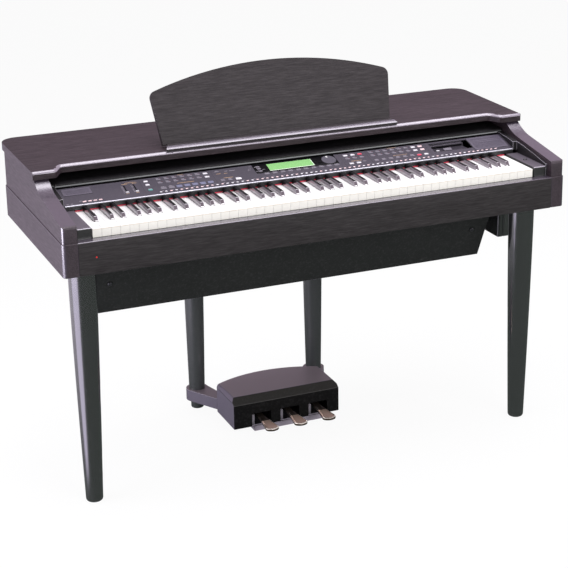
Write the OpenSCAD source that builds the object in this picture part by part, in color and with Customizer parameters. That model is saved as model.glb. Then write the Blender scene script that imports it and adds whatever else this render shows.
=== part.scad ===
// Console digital piano on four round legs, with a pedal unit, a folding music rest and a sliding key cover.
// Millimetres. X runs to the player's right, Y to the back, Z up; the floor is Z = 0 and the middle is X = 0.
// Depths named *_y are measured from the front of the case; yf() turns them into model coordinates.

/* [Case] */
// Width of the lower case
case_w = 1389; // [1340:1:1440]
// Depth of the lower case
case_d = 574; // [560:1:620]
// Height of the underside of the case above the floor
case_z = 646; // [600:1:700]
// Height of the lower case
case_h = 85; // [80:1:100]
// Thickness of the lower side boards
side_t = 39.5; // [32:0.5:45]
// Thickness of the front board
front_t = 24; // [16:1:26]
// Thickness of the key bed
bed_t = 18; // [15:1:24]
// Rounding of the upright case edges
edge_r = 10; // [2.5:0.5:14]
// Rounding of the front board's top edge
front_r = 3; // [1:0.5:6]
// Thickness of the back panel
back_t = 9; // [6:1:15]
// Distance from the case's back edge to the back panel
back_inset = 3; // [0:1:10]

/* [Arms and top board] */
// Step from the lower side boards in to the arms
arm_step = 2; // [0:0.5:4]
// Setback of the arms' front ends
arm_y = 3; // [0:1:10]
// Height of the arms' front ends above the lower case
arm_h = 42; // [38:1:50]
// Slope of the arms' top edge
arm_slope = 8.2; // [4:0.1:10]
// Rounding of the arms' front top corner
arm_r = 8; // [3:1:15]
// Depth at which the arms' top edge begins to curve up
arm_curve_y = 184; // [160:1:195]
// Radius of that curve
arm_curve_r = 148; // [120:1:200]
// Height of the top board's underside above the lower case
top_rise = 96.5; // [94:0.5:110]
// Thickness of the top board
top_t = 21; // [15:1:28]
// Overhang of the top board at each side of the case
top_side = 2.5; // [0:0.5:10]
// Overhang of the top board behind the case
top_over = 32; // [5:1:40]
// Depth at which the top board's ends begin
top_end_y = 243; // [235:1:250]
// Depth at which the top board's middle begins
top_mid_y = 282; // [276:1:300]
// Width of the top board's straight ends
top_end_w = 56; // [45:1:60]
// Width of the S curve between an end and the middle of its front edge
top_s_w = 31; // [20:1:60]
// Radius of the top board's back corners
top_corner_r = 45; // [10:1:80]

/* [Music rest] */
// Lean of the music rest from upright
rest_lean = 19.8; // [10:0.1:25]
// Thickness of the music rest
rest_t = 14; // [12:0.5:18]
// Depth of the rest's hinge line
rest_y = 332; // [330:1:345]
// Height of the rest's hinge line above the top board
rest_pivot_h = 9.5; // [9.5:0.1:11]
// Length of the rest below its hinge line
rest_below = 5; // [3:0.5:5]
// Half width of the rest at its hinge line
rest_half_low = 328.7; // [280:0.1:360]
// Half width of the rest at its upper corners
rest_half_high = 344.6; // [300:0.1:380]
// Height of the rest's upper corners along its face
rest_corner_h = 134.6; // [140:0.1:160]
// Height of the rest's crown along its face
rest_crown_h = 192; // [170:1:205]
// Radius of the rest's upper corners
rest_corner_r = 20; // [8:1:30]
// Height of the stays' hinges along the rest
stay_pivot_h = 60; // [50:1:70]
// Distance of the stays from the middle
stay_x = 150; // [80:1:220]
// Width of a stay
stay_w = 16; // [10:1:24]
// Thickness of a stay
stay_t = 3; // [2:0.5:3.5]
// Angle of an opened stay below the horizontal
stay_splay = 61.2; // [55:0.1:70]
// Distance of the rest's hinge blocks from the middle
rest_hinge_x = 230; // [200:1:300]
// Reach of the ledge past the foot of the rest at each side
ledge_side = 3.3; // [0:0.1:10]
// Height of the ledge
ledge_h = 12.5; // [8:0.5:16]
// Depth of the ledge's front foot
ledge_y = 284; // [283:1:292]
// Depth of the ledge from front to back
ledge_d = 32; // [24:1:34]

/* [Key cover] */
// Radius of the arc that the cover slides on
cover_r = 1800; // [1600:10:2200]
// Depth of that arc's highest point
cover_apex_y = 396; // [380:1:410]
// Height of the arc's highest point above the lower case
cover_apex_h = 76.3; // [75.5:0.1:80]
// Thickness of the cover
cover_t = 5; // [3:0.5:5]
// Depth of the cover's front lip when it is open
cover_y = 266; // [262:1:270]
// Distance from the case's back edge to the cover's back edge when it is open
cover_back_in = 24; // [20:1:60]
// Depth of the lip from front to back
lip_d = 8; // [5:1:12]
// Height of the lip
lip_h = 8; // [6:0.5:8]
// Width of the rails that the cover runs on
rail_w = 17; // [12:1:25]
// Width of the rails in front of the control panel
rail_front_w = 5; // [4:0.5:10]

/* [Control panel] */
// Depth of the panel's front edge
panel_y = 180; // [178:1:182]
// Height of the panel's front edge above the lower case
panel_h = 40; // [39:0.5:41]
// Slope of the panel
panel_tilt = 15.5; // [12:0.1:16]
// Length of the panel up its slope
panel_l = 81; // [80:1:82]
// Thickness of the panel
panel_t = 3.5; // [2:0.5:5]
// Height of a button above the panel
button_proud = 1.2; // [0.6:0.1:1.5]
// Travel of the buttons
button_travel = 1.2; // [0.5:0.1:1.3]
// Spacing of the buttons in the selection rows
button_pitch = 21.25; // [19:0.05:22]
// Spacing of the buttons along the panel's front edge
function_pitch = 13.85; // [13:0.05:14]
// Number of buttons along the panel's front edge
function_n = 71; // [60:1:71]
// Width of the display
display_w = 127; // [100:1:130]
// Height of the display
display_h = 34; // [25:1:36]
// Radius of the data dial
dial_r = 20; // [14:0.5:20]
// Travel of the volume and balance sliders
slider_travel = 32; // [20:1:34]

/* [Keys] */
// Gap between neighbouring keys
key_gap = 1; // [0.6:0.1:1.6]
// Depth of the white keys' front ends
key_y = 26; // [25:0.5:30]
// Depth of the black keys' front ends
black_y = 83; // [74:1:90]
// Thickness of the white keys
key_t = 22; // [18:1:24]
// Height of the black keys above the white ones
black_h = 12; // [10:0.5:12]
// Width of the black keys at their foot
black_w = 11; // [9:0.5:12]
// Width of the black keys at their top
black_top_w = 9.5; // [8:0.5:10]
// Depth of the keys' fulcrum line
key_pivot_y = 236; // [225:1:245]
// Radius of the rod that the keys rock on
key_rod_r = 2; // [1.5:0.1:2.5]
// Length of the keys behind their fulcrum
key_tail = 8; // [5:1:12]
// Width of the key blocks beside the outer keys
block_w = 35.7; // [30:0.1:40]
// Gap between the outer keys and the key blocks
block_gap = 3; // [1:0.5:4]
// Height of the key blocks above the lower case
block_h = 27; // [24:1:28]

/* [Legs] */
// Distance of the front legs' middles from the case's sides
front_leg_in = 71.5; // [71.5:0.5:100]
// Depth of the front legs
front_leg_y = 101; // [70:1:130]
// Radius of a front leg at its foot
front_leg_r0 = 22; // [16:0.5:28]
// Radius of a front leg at its top
front_leg_r1 = 35.5; // [30:0.5:36]
// Distance of the back legs' middles from the ends of the pedal box
rear_leg_out = 24; // [24:0.5:40]
// Distance of the back legs' middles from the case's back edge
rear_leg_in = 31; // [31:1:40]
// Radius of a back leg at its foot
rear_leg_r0 = 21.5; // [18:0.5:22]
// Radius of a back leg at its top
rear_leg_r1 = 30.5; // [26:0.5:30.5]
// Power of the legs' taper: larger is more bellied
leg_belly = 1.35; // [1:0.05:1.8]
// Rounding of the legs' feet
foot_r = 7; // [2:0.5:10]
// Radius of the turned-down foot of a back leg
spigot_r = 18.5; // [15:0.5:18.5]

/* [Speaker box] */
// Distance of the speaker box from the case's sides
box_in = 123.5; // [115:0.5:160]
// Height of the speaker box
box_h = 197; // [160:1:220]
// Depth of its front face at the top
box_y = 154; // [150:1:190]
// Lean of its front face
box_lean = 26; // [15:0.5:30]
// Distance of its back face from the case's back edge
box_back_in = 154; // [110:1:170]
// Thickness of its boards
box_t = 12; // [8:1:16]
// Radius of a loudspeaker
woofer_r = 72; // [50:1:75]
// Distance of the loudspeakers from the middle
woofer_x = 300; // [150:1:400]
// Distance from the speaker box to the side bracket
bracket_gap = 33; // [20:1:35]
// Width of the side bracket
bracket_w = 46; // [30:1:48]
// Thickness of its inner board
bracket_t = 16; // [10:1:20]
// Height of the side bracket
bracket_h = 134; // [80:1:160]
// Depth of the side bracket's front face
bracket_y = 193; // [180:1:220]

/* [Pedal unit] */
// Half width of the pedal box
pedal_half = 160; // [150:1:160]
// Distance of its front face before the back legs' middles
pedal_out_y = 238; // [230:1:260]
// Height of its lower edge
pedal_z = 18.5; // [15:0.5:25]
// Height of its top
pedal_top = 106; // [95:1:120]
// Depth of the box's ends
pedal_end_d = 137; // [110:1:137]
// Bulge of its bowed back
pedal_bow = 46; // [30:1:46]
// Wall of the pedal box
pedal_wall = 4; // [3:0.5:6]
// Spacing of the pedals
pedal_pitch = 86; // [75:1:90]
// Offset of the middle pedal to the right
pedal_shift = 9; // [0:1:12]
// Width of a pedal at its tip
pedal_w = 28; // [20:1:32]
// Height of the pedals' upper face
pedal_top_z = 45; // [40:1:50]
// Thickness of a pedal
pedal_t = 7; // [5:1:8]
// Length of a pedal in front of the box
pedal_out = 92; // [60:1:110]
// Distance from the box's front face back to the axle
axle_in = 95; // [70:1:100]
// Radius of the axle
axle_r = 4; // [3:0.5:5]

/* [Fits] */
// Running clearance between parts that move past each other
clear = 0.3; // [0.3:0.05:0.4]
// Radial clearance of a hinge pin in its bore
pin_clear = 0.05; // [0.03:0.01:0.08]

/* [Hidden] */
$fn = 48;

depth = case_d + top_over;
half_w = case_w / 2;
seam_z = case_z + case_h;
top_z = seam_z + top_rise;
lid_z = top_z + top_t;
arm_out = half_w - arm_step;
arm_in = half_w - side_t;
bed_z = case_z + bed_t;
back_y = case_d - back_inset - back_t;
front_leg_x = half_w - front_leg_in;
rear_leg_x = pedal_half + rear_leg_out;
rear_leg_y = case_d - rear_leg_in;
pedal_y = rear_leg_y - pedal_out_y;

wood = "#33262a";
dark = "#2b282c";
plastic = "#3c3840";
metal = "#b9b9bf";

function yf(d) = d - depth / 2;
function arc(cx, cy, r, a0, a1, n) = [for (i = [0:n]) let (a = a0 + (a1 - a0) * i / n) [cx + r * cos(a), cy + r * sin(a)]];

// a block between two corners given by depth from the front
module block(a, b) {
    translate([a[0], yf(a[1]), a[2]]) cube([b[0] - a[0], b[1] - a[1], b[2] - a[2]]);
}

// a prism along X from x0 to x1, whose profile is drawn as [depth, height]
module along_x(x0, x1) {
    translate([x0, yf(0), 0]) rotate([90, 0, 90]) linear_extrude(x1 - x0) children();
}

// a prism upwards from z0 to z1, whose outline is drawn as [x, depth]
module upright(z0, z1) {
    translate([0, yf(0), z0]) linear_extrude(z1 - z0) children();
}

module both_sides() {
    children();
    mirror([1, 0, 0]) children();
}

// a rectangle from [x0, y0] to [x1, y1] with round corners
module round_rect(x0, y0, x1, y1, r) {
    translate([x0 + r, y0]) square([x1 - x0 - 2 * r, y1 - y0]);
    translate([x0, y0 + r]) square([x1 - x0, y1 - y0 - 2 * r]);
    for (x = [x0 + r, x1 - r], y = [y0 + r, y1 - r]) translate([x, y]) circle(r);
}

// ---- case ----
front_plate = 62;
rear_plate = 52;
plate_t = 4;
stud_r = 6;
stud_l = 40;
lamp_r = 2;
lamp_x = 83.5 - half_w;
lamp_z = case_z + 44;
inlet_w = 50;
inlet_h = 28;
inlet_d = 24;
inlet_x = arm_in - 95;
inlet_z = bed_z + 30;

module key_bed() {
    color(dark) difference() {
        block([-arm_in, front_t, case_z], [arm_in, back_y + back_t, bed_z]);
        both_sides() {
            leg_pocket(front_leg_x, front_leg_y, front_plate);
            leg_pocket(rear_leg_x, rear_leg_y, rear_plate);
        }
    }
}

module leg_pocket(x, y, w) {
    h = w / 2 + clear;
    block([x - h, y - h, case_z - 1], [x + h, y + h, case_z + plate_t + clear]);
}

// the plan of a side piece, with its outer corners rounded
module side_plan(x0, x1, y0, y1, r) {
    translate([x0, y0]) square([x1 - x0 - r, y1 - y0]);
    translate([x1 - r, y0 + r]) square([r, y1 - y0 - 2 * r]);
    for (y = [y0 + r, y1 - r]) translate([x1 - r, y]) circle(r);
}

module side_boards() {
    color(wood) both_sides() upright(case_z, seam_z) side_plan(arm_in, half_w, 0, case_d, edge_r);
}

module front_board() {
    color(wood) difference() {
        along_x(-arm_in, arm_in)
            polygon(concat([[0, case_z], [front_t, case_z], [front_t, seam_z]],
                arc(front_r, seam_z - front_r, front_r, 90, 180, 6)));
        translate([lamp_x, yf(-1), lamp_z]) rotate([-90, 0, 0]) cylinder(r = lamp_r + clear / 2, h = front_t / 2 + 1);
    }
}

module pilot_lamp() {
    color("#c4281c") translate([lamp_x, yf(0.2), lamp_z]) rotate([-90, 0, 0])
        cylinder(r = lamp_r, h = front_t / 2 - 0.2);
}

function arm_top(y) = seam_z + arm_h + (y - arm_y) * tan(arm_slope);
arm_curve_cy = arm_curve_y - arm_curve_r * sin(arm_slope);
arm_curve_cz = arm_top(arm_curve_y) + arm_curve_r * cos(arm_slope);
arm_curve_end = acos((arm_curve_cz - top_z) / arm_curve_r);
arm_corner_z = arm_top(arm_y + arm_r) - arm_r / cos(arm_slope);

module side_arms() {
    back = case_d - back_inset;
    color(wood) both_sides() intersection() {
        along_x(arm_in, arm_out) polygon(concat(
            [[back, seam_z], [back, top_z]],
            arc(arm_curve_cy, arm_curve_cz, arm_curve_r, -90 + arm_curve_end, -90 + arm_slope, 10),
            arc(arm_y + arm_r, arm_corner_z, arm_r, 90 + arm_slope, 180, 6),
            [[arm_y, seam_z]]));
        upright(seam_z, top_z) side_plan(arm_in, arm_out, arm_y, back, edge_r - arm_step);
    }
}

module back_panel() {
    color(dark) difference() {
        block([-arm_in, back_y, bed_z], [arm_in, back_y + back_t, top_z]);
        block([inlet_x - clear, back_y - 1, inlet_z - clear],
            [inlet_x + inlet_w + clear, back_y + back_t + 1, inlet_z + inlet_h + clear]);
    }
}

function s_curve(t) = (1 - cos(180 * t)) / 2;
s_steps = 12;
top_w = case_w + 2 * top_side;
top_s_out = top_w / 2 - top_end_w;
top_s_in = top_s_out - top_s_w;
top_edge = [for (i = [0:s_steps]) let (t = i / s_steps)
    [top_s_out + (top_s_in - top_s_out) * t, top_end_y + (top_mid_y - top_end_y) * s_curve(t)]];

module top_board() {
    r = top_corner_r;
    color(wood) upright(top_z, lid_z)
        polygon(concat(
            [[top_w / 2, top_end_y]], top_edge,
            [for (i = [s_steps:-1:0]) [-top_edge[i][0], top_edge[i][1]]],
            [[-top_w / 2, top_end_y]],
            arc(-top_w / 2 + r, depth - r, r, 180, 90, 8),
            arc(top_w / 2 - r, depth - r, r, 90, 0, 8)));
}

// ---- music rest ----
rest_z = lid_z + rest_pivot_h;
hinge_pin_r = 2.5;
hinge_boss_r = 3.2;
hinge_w = 16;
hinge_pin_l = 12;
stay_pin_r = 1.5;
stay_pin_l = 5;
stay_deep = 5;
stay_off = rest_t / 2 - stay_deep / 2 - 0.4;
stay_pivot_z = rest_z + stay_pivot_h * cos(rest_lean) - stay_off * sin(rest_lean);
stay_l = (stay_pivot_z - lid_z - clear - stay_t / 2) / sin(stay_splay);

// the rest's own plane: X across, Y up the rest, Z out of its front face
module on_rest(x = 0, y = 0, z = 0) {
    translate([0, yf(rest_y), rest_z]) rotate([90 - rest_lean, 0, 0]) translate([x, y, z]) children();
}

crown_r = (pow(rest_half_high, 2) + pow(rest_crown_h - rest_corner_h, 2)) / (2 * (rest_crown_h - rest_corner_h));
crown_c = rest_crown_h - crown_r;
flare = atan((rest_half_high - rest_half_low) / rest_corner_h);
corner_x0 = rest_half_low - rest_corner_r * cos(flare);
corner_y0 = rest_corner_r * sin(flare) - crown_c;
corner_b = corner_x0 * sin(flare) + corner_y0 * cos(flare);
corner_c = pow(corner_x0, 2) + pow(corner_y0, 2) - pow(crown_r - rest_corner_r, 2);
corner_t = -corner_b + sqrt(pow(corner_b, 2) - corner_c);
corner = [corner_x0 + corner_t * sin(flare), corner_y0 + crown_c + corner_t * cos(flare)];
corner_end = atan2(corner[1] - crown_c, corner[0]);
rest_low = rest_half_low - rest_below * tan(flare);
rest_right = concat([[rest_low, -rest_below]], arc(corner[0], corner[1], rest_corner_r, -flare, corner_end, 6));
rest_crown = arc(0, crown_c, crown_r, corner_end, 180 - corner_end, 24);

module music_rest() {
    color(wood) difference() {
        on_rest(0, 0, -rest_t / 2) linear_extrude(rest_t)
            polygon(concat(rest_right, rest_crown, [for (i = [len(rest_right) - 1:-1:0]) [-rest_right[i][0], rest_right[i][1]]]));
        both_sides() {
            on_rest(stay_x - stay_w / 2 - 2, stay_pivot_h - 8, -rest_t / 2 - 1) cube([stay_w + 4, stay_l + 12, stay_deep + 1]);
            on_rest(stay_x - stay_w / 2 - 2 - stay_pin_l, stay_pivot_h, -stay_off) rotate([0, 90, 0])
                cylinder(r = stay_pin_r + pin_clear, h = stay_w + 4 + 2 * stay_pin_l);
            on_rest(rest_hinge_x - hinge_w / 2 - 1, -rest_below - 1, -rest_t / 2 - 1)
                cube([hinge_w + 2, rest_below + hinge_boss_r + 2, rest_t / 2 + 1 + hinge_boss_r + clear]);
            on_rest(rest_hinge_x - hinge_w / 2 - 1 - hinge_pin_l, 0, 0) rotate([0, 90, 0])
                cylinder(r = hinge_pin_r + pin_clear, h = hinge_w + 2 + 2 * hinge_pin_l);
        }
    }
}

module rest_stays() {
    color(metal) both_sides() on_rest(stay_x, stay_pivot_h, -stay_off)
        rotate([-90 + rest_lean, 0, 0]) rotate([-stay_splay, 0, 0]) union() {
            translate([-stay_w / 2, 0, -stay_t / 2]) cube([stay_w, stay_l, stay_t]);
            for (y = [0, stay_l]) translate([-stay_w / 2, y, 0]) rotate([0, 90, 0]) cylinder(d = stay_t, h = stay_w);
            translate([-stay_w / 2 - stay_pin_l - 1, 0, 0]) rotate([0, 90, 0])
                cylinder(r = stay_pin_r, h = stay_w + 2 * stay_pin_l + 2);
        }
}

module rest_ledge() {
    y1 = ledge_y + ledge_d;
    ledge_half = rest_half_low + ledge_side;
    color(wood) intersection() {
        along_x(-ledge_half, ledge_half) polygon([[ledge_y, lid_z], [y1, lid_z], [y1, lid_z + ledge_h],
            [ledge_y + 11, lid_z + ledge_h], [ledge_y, lid_z + ledge_h / 2]]);
        upright(lid_z - 1, lid_z + ledge_h + 1) polygon([[-ledge_half, ledge_y], [ledge_half, ledge_y],
            [ledge_half - 13, y1], [13 - ledge_half, y1]]);
    }
    color(metal) both_sides() union() {
        along_x(rest_hinge_x - hinge_w / 2, rest_hinge_x + hinge_w / 2) union() {
            translate([rest_y, rest_z]) circle(hinge_boss_r);
            translate([rest_y - hinge_boss_r, lid_z]) square([2 * hinge_boss_r, rest_z - lid_z]);
            translate([rest_y - 8, lid_z]) square([16, 1.5]);
        }
        translate([rest_hinge_x - hinge_w / 2 - hinge_pin_l, yf(rest_y), rest_z]) rotate([0, 90, 0])
            cylinder(r = hinge_pin_r, h = hinge_w + 2 * hinge_pin_l);
    }
}

// ---- key cover ----
cover_cz = seam_z + cover_apex_h - cover_r;
rail_r = cover_r - cover_t - clear;
cover_half = arm_in - 3;
cover_back_y = case_d - cover_back_in;
rail_in = arm_in - rail_w;
lip_half = rail_in - 2;

// the part of the sliding arc between two depths and two radii, as [depth, height]
module arc_band(y0, y1, r0, r1) {
    intersection() {
        difference() {
            translate([cover_apex_y, cover_cz]) circle(r1, $fn = 360);
            translate([cover_apex_y, cover_cz]) circle(r0, $fn = 360);
        }
        translate([y0, seam_z]) square([y1 - y0, top_rise]);
    }
}

module key_cover() {
    color(dark) union() {
        along_x(-cover_half, cover_half) arc_band(cover_y + lip_d / 2, cover_back_y, cover_r - cover_t, cover_r);
        along_x(-lip_half, lip_half) arc_band(cover_y, cover_y + lip_d, cover_r - lip_h, cover_r + 0.6);
    }
}

module cover_rails() {
    color(dark) both_sides() union() {
        along_x(rail_in, arm_in) intersection() {
            translate([cover_apex_y, cover_cz]) circle(rail_r, $fn = 360);
            translate([panel_y, panel_z - 5]) square([back_y - panel_y - 2, top_rise]);
        }
        along_x(arm_in - rail_front_w, arm_in) intersection() {
            translate([cover_apex_y, cover_cz]) circle(rail_r, $fn = 360);
            translate([block_y, bed_z]) square([panel_y + 1 - block_y, case_h + top_rise]);
        }
    }
}

// ---- key blocks and power button ----
white_n = 52;
block_out = arm_in - rail_front_w - clear;
block_in = block_out - block_w;
keys_half = block_in - block_gap;
key_pitch = 2 * keys_half / white_n;
block_y = front_t + clear;
power_r = 5.5;
power_x = (block_in + block_out) / 2;
power_y = 104;

module key_blocks() {
    color(plastic) difference() {
        both_sides() along_x(block_in, block_out)
            polygon(concat([[panel_y - 2, bed_z], [panel_y - 2, seam_z + block_h]],
                arc(block_y + 3, seam_z + block_h - 3, 3, 90, 180, 4), [[block_y, bed_z]]));
        translate([power_x, yf(power_y), seam_z + block_h - 9]) cylinder(r = power_r + clear, h = 10);
    }
}

module power_button() {
    color(dark) translate([power_x, yf(power_y), seam_z + block_h - 6]) cylinder(r = power_r, h = 7);
}

// ---- control panel ----
panel_z = seam_z + panel_h;
panel_half = rail_in;
fascia_z = panel_z - 13.5;
felt_h = 4;
row_v = [68.4, 51.6];
pad_v = 24.5;
front_v = 7.5;
// places across the panel are drawn for a half width of 638 and move with its ends
across = panel_half / 638;
pitch = button_pitch * across;
front_pitch = function_pitch * across;
style_x = -370.6 * across;
style_side_x = style_x - 34.9;
voice_x = 157 * across;
bank_x = voice_x + 75.6 * across;
slot_x = [-466 * across, -440 * across];
board_x = [-480 * across, 400 * across];
grille_left = [-629 * across, -555 * across];
grille_right = [531 * across, 634 * across];
drive_w = 102;
drive_x0 = 461 * across - drive_w / 2;
drive_x = [drive_x0, drive_x0 + drive_w];
drive_v = [29, 73];
recess_x1 = grille_right[0] - 4;
screen_x = -7;
screen_v = 58;
dial_x = screen_x + display_w / 2 + dial_r + 28.1;
dial_v = 59;
display_row_x = screen_x - display_w / 2 - 13.5;
display_row_v = 29.3;
display_pitch = (dial_x + 11.2 - display_row_x) / 9;
bezel_x = [display_row_x - 26, dial_x + dial_r + 1.4];
bezel_v = [screen_v - 22.5, screen_v + 22.5];
slot_v = 41.5;
board_w = 7 + button_travel;

// the panel's own plane: X across, Y up the slope, Z out of its face
module on_panel(x = 0, v = 0, w = 0) {
    translate([0, yf(panel_y), panel_z]) rotate([panel_tilt, 0, 0]) translate([x, v, w]) children();
}

// each button is [x, v, width, depth]
style_list = concat(
    [for (r = row_v, i = [0:6]) [style_x + i * pitch, r, 12, 6]],
    [for (i = [0:6]) [style_x + i * pitch, pad_v, 15, 10]],
    [for (v = [66, 49, 24.3]) [style_side_x, v, 11, 6]],
    [for (i = [0:3]) [55.4 - panel_half + i * front_pitch, front_v + 2, 9, 4]]);
display_list = concat(
    [for (i = [0:9]) [display_row_x + i * display_pitch, display_row_v, 13, 6]],
    [for (v = [46, 57, 68]) [display_row_x - 13, v, 10, 6]]);
voice_list = concat(
    [for (r = row_v, i = [0:2]) [voice_x + i * pitch, r, 12, 6]],
    [for (r = row_v, i = [0:7]) [bank_x + i * pitch, r, 12, 6]],
    [for (i = [0:1]) [voice_x + 1 + i * pitch, 26.3, 12, 6]],
    [for (i = [0:7]) [bank_x + i * pitch, 26.3, 12, 6]]);
function_list = [for (i = [0:function_n - 1]) [-383 * across + i * front_pitch, front_v, 7, 5]];

module holes(list) {
    for (b = list) translate([b[0] - b[2] / 2 - clear, b[1] - b[3] / 2 - clear]) square([b[2] + 2 * clear, b[3] + 2 * clear]);
}

module buttons(list) {
    for (b = list) on_panel(b[0] - b[2] / 2, b[1] - b[3] / 2, -7) cube([b[2], b[3], 7 + button_proud]);
}

module control_panel() {
    color(plastic) union() {
        on_panel(0, 0, -panel_t) linear_extrude(panel_t) difference() {
            translate([-panel_half, 0]) square([2 * panel_half, panel_l]);
            holes(style_list);
            holes(display_list);
            holes(voice_list);
            holes(function_list);
            translate([dial_x, dial_v]) circle(dial_r + clear);
            for (x = slot_x) translate([x - 1.5, slot_v - slider_travel / 2 - 3]) square([3, slider_travel + 6]);
            translate([drive_x[0] - clear, drive_v[0] - clear])
                square([recess_x1 - drive_x[0] + clear, drive_v[1] - drive_v[0] + 2 * clear]);
        }
        block([-panel_half, panel_y, fascia_z], [panel_half, panel_y + 4, panel_z - 2]);
    }
}

module panel_trim() {
    color(metal) along_x(-panel_half + 2, panel_half - 2) polygon([[panel_y - 3.5, panel_z - 4.4],
        [panel_y, panel_z - 4.4], [panel_y, panel_z + 0.2], [panel_y - 2.5, panel_z], [panel_y - 3.5, panel_z - 1]]);
}

module panel_grilles() {
    color(plastic) {
        on_panel(grille_left[0], 44, 0) cube([grille_left[1] - grille_left[0], 30, 1]);
        on_panel(grille_right[0], 14, 0) cube([grille_right[1] - grille_right[0], 63, 1]);
    }
}

module display() {
    color(dark) on_panel(0, 0, 0) linear_extrude(1) difference() {
        translate([bezel_x[0], bezel_v[0]]) square([bezel_x[1] - bezel_x[0], bezel_v[1] - bezel_v[0]]);
        translate([screen_x - display_w / 2, screen_v - display_h / 2]) square([display_w, display_h]);
        translate([dial_x, dial_v]) circle(dial_r + clear);
        holes(display_list);
    }
    color("#6cc25a") on_panel(screen_x - display_w / 2, screen_v - display_h / 2, 0) cube([display_w, display_h, 0.6]);
}

module data_dial() {
    color("#6a6672") on_panel(dial_x, dial_v, 0) difference() {
        union() {
            translate([0, 0, -4]) cylinder(r = dial_r, h = 5.2);
            translate([0, 0, -board_w - 4]) cylinder(r = 3, h = board_w + 1);
        }
        translate([0, dial_r - 4.5, 0.4]) cylinder(r = 3.5, h = 2);
    }
}

module slider_knob(x) {
    on_panel(x - 4, slot_v - slider_travel / 2 - 2.5, 0.1) cube([8, 5, 2.4]);
    on_panel(x - 1.2, slot_v - slider_travel / 2 - 1.5, -panel_t - 2) cube([2.4, 3, panel_t + 2.2]);
}

module volume_slider() {
    color(dark) union() slider_knob(slot_x[0]);
}

module balance_slider() {
    color(dark) union() slider_knob(slot_x[1]);
}

module style_buttons() {
    color("#8c8896") buttons(style_list);
}

module display_buttons() {
    color("#6f6b78") buttons(display_list);
}

module voice_buttons() {
    color("#85818e") buttons(voice_list);
}

module function_buttons() {
    color("#b79aa4") buttons(function_list);
}

// ---- disk drive ----
floor_y = panel_y + drive_v[0] * cos(panel_tilt);
floor_z = panel_z + drive_v[0] * sin(panel_tilt) - 0.8;
face_y = panel_y + 61 * cos(panel_tilt);
face_top = panel_z + 61 * sin(panel_tilt) - 0.8;
drive_back = face_y + 141;
slit_w = 94;
slit_h = 5.2;
slit_z = floor_z + 0.8;
slit_deep = 90;
drive_mid = (drive_x[0] + drive_x[1]) / 2;
eject_x = drive_x[0] + 14;
eject_y = face_y - 19;

module disk_drive() {
    color(dark) difference() {
        union() {
            block([drive_x[0], floor_y + 1, floor_z - 4], [drive_x[1], face_y + 1, floor_z]);
            block([drive_x[0], face_y, floor_z - 4], [drive_x[1], drive_back, face_top]);
        }
        block([drive_mid - slit_w / 2, face_y - 1, slit_z], [drive_mid + slit_w / 2, face_y + slit_deep, slit_z + slit_h]);
        block([eject_x - 4.5 - clear, eject_y - 3 - clear, floor_z - 5], [eject_x + 4.5 + clear, eject_y + 3 + clear, floor_z + 1]);
    }
}

module disk_eject() {
    color("#dcdce2") block([eject_x - 4.5, eject_y - 3, floor_z - 6], [eject_x + 4.5, eject_y + 3, floor_z + 1.6]);
}

module main_board() {
    color("#2f5d3a") on_panel(0, 0, 0) difference() {
        union() {
            translate([board_x[0], 24, -board_w - 1.6]) cube([board_x[1] - board_x[0], panel_l - 27, 1.6]);
            for (x = [board_x[0] + 6, bezel_x[0] - 11, bezel_x[1] + 14, board_x[1] - 6], v = [37, panel_l - 7])
                translate([x, v, -board_w - 0.5]) cylinder(r = 2.5, h = board_w + 0.5 - panel_t);
        }
        translate([dial_x, dial_v, -board_w - 3]) cylinder(r = 3 + pin_clear, h = 5);
    }
}

// ---- keys ----
key_top = seam_z + key_t;
black_top = key_top + black_h;
key_end = key_pivot_y + key_tail;
shift = [3, 0, -3, 3, 0, -4, 0];
has_black = [true, false, true, true, false, true, true];

function key_x(k) = (k - white_n / 2) * key_pitch;
function black_x(k) = key_x(k + 1) + shift[k % 7];
function notch_right(k) = (k < white_n - 1 && has_black[k % 7])
    ? black_x(k) - black_w / 2 - key_gap : key_x(k + 1) - key_gap / 2;
function notch_left(k) = (k > 0 && has_black[(k + 6) % 7])
    ? black_x(k - 1) + black_w / 2 + key_gap : key_x(k) + key_gap / 2;

module key_groove(x) {
    translate([x, yf(key_pivot_y), seam_z]) rotate([0, 90, 0]) cylinder(r = key_rod_r + pin_clear, h = key_pitch + 2);
}

module white_key(k) {
    x0 = key_x(k) + key_gap / 2;
    x1 = key_x(k + 1) - key_gap / 2;
    yn = black_y - 2 * key_gap;
    difference() {
        upright(seam_z, key_top) polygon([[x0, key_y], [x1, key_y], [x1, yn], [notch_right(k), yn],
            [notch_right(k), key_end], [notch_left(k), key_end], [notch_left(k), yn], [x0, yn]]);
        key_groove(x0 - 1);
    }
}

module black_key(k) {
    x = black_x(k);
    difference() {
        intersection() {
            along_x(x - black_w / 2, x + black_w / 2) polygon([[black_y, seam_z], [key_end, seam_z],
                [key_end, key_top - 0.4], [panel_y - 0.7, key_top - 0.4], [panel_y - 0.7, black_top],
                [black_y + 6, black_top], [black_y, key_top + 1]]);
            translate([x, yf(key_end + 1), 0]) rotate([90, 0, 0]) linear_extrude(key_end + 2 - black_y)
                polygon([[-black_w / 2, seam_z], [black_w / 2, seam_z], [black_w / 2, key_top],
                    [black_top_w / 2, black_top], [-black_top_w / 2, black_top], [-black_w / 2, key_top]]);
        }
        key_groove(x - key_pitch / 2);
    }
}

module white_keys(name) {
    color("ivory") for (k = [name:7:white_n - 1]) white_key(k);
}

module black_keys(name) {
    color("#1a1a1d") for (k = [name:7:white_n - 2]) black_key(k);
}

module felt_strip() {
    color("#b01e2a") block([-keys_half, panel_y, fascia_z - felt_h], [keys_half, panel_y + 4, fascia_z]);
}

frame_t = 3;
fulcrum_z = seam_z - key_rod_r;

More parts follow.
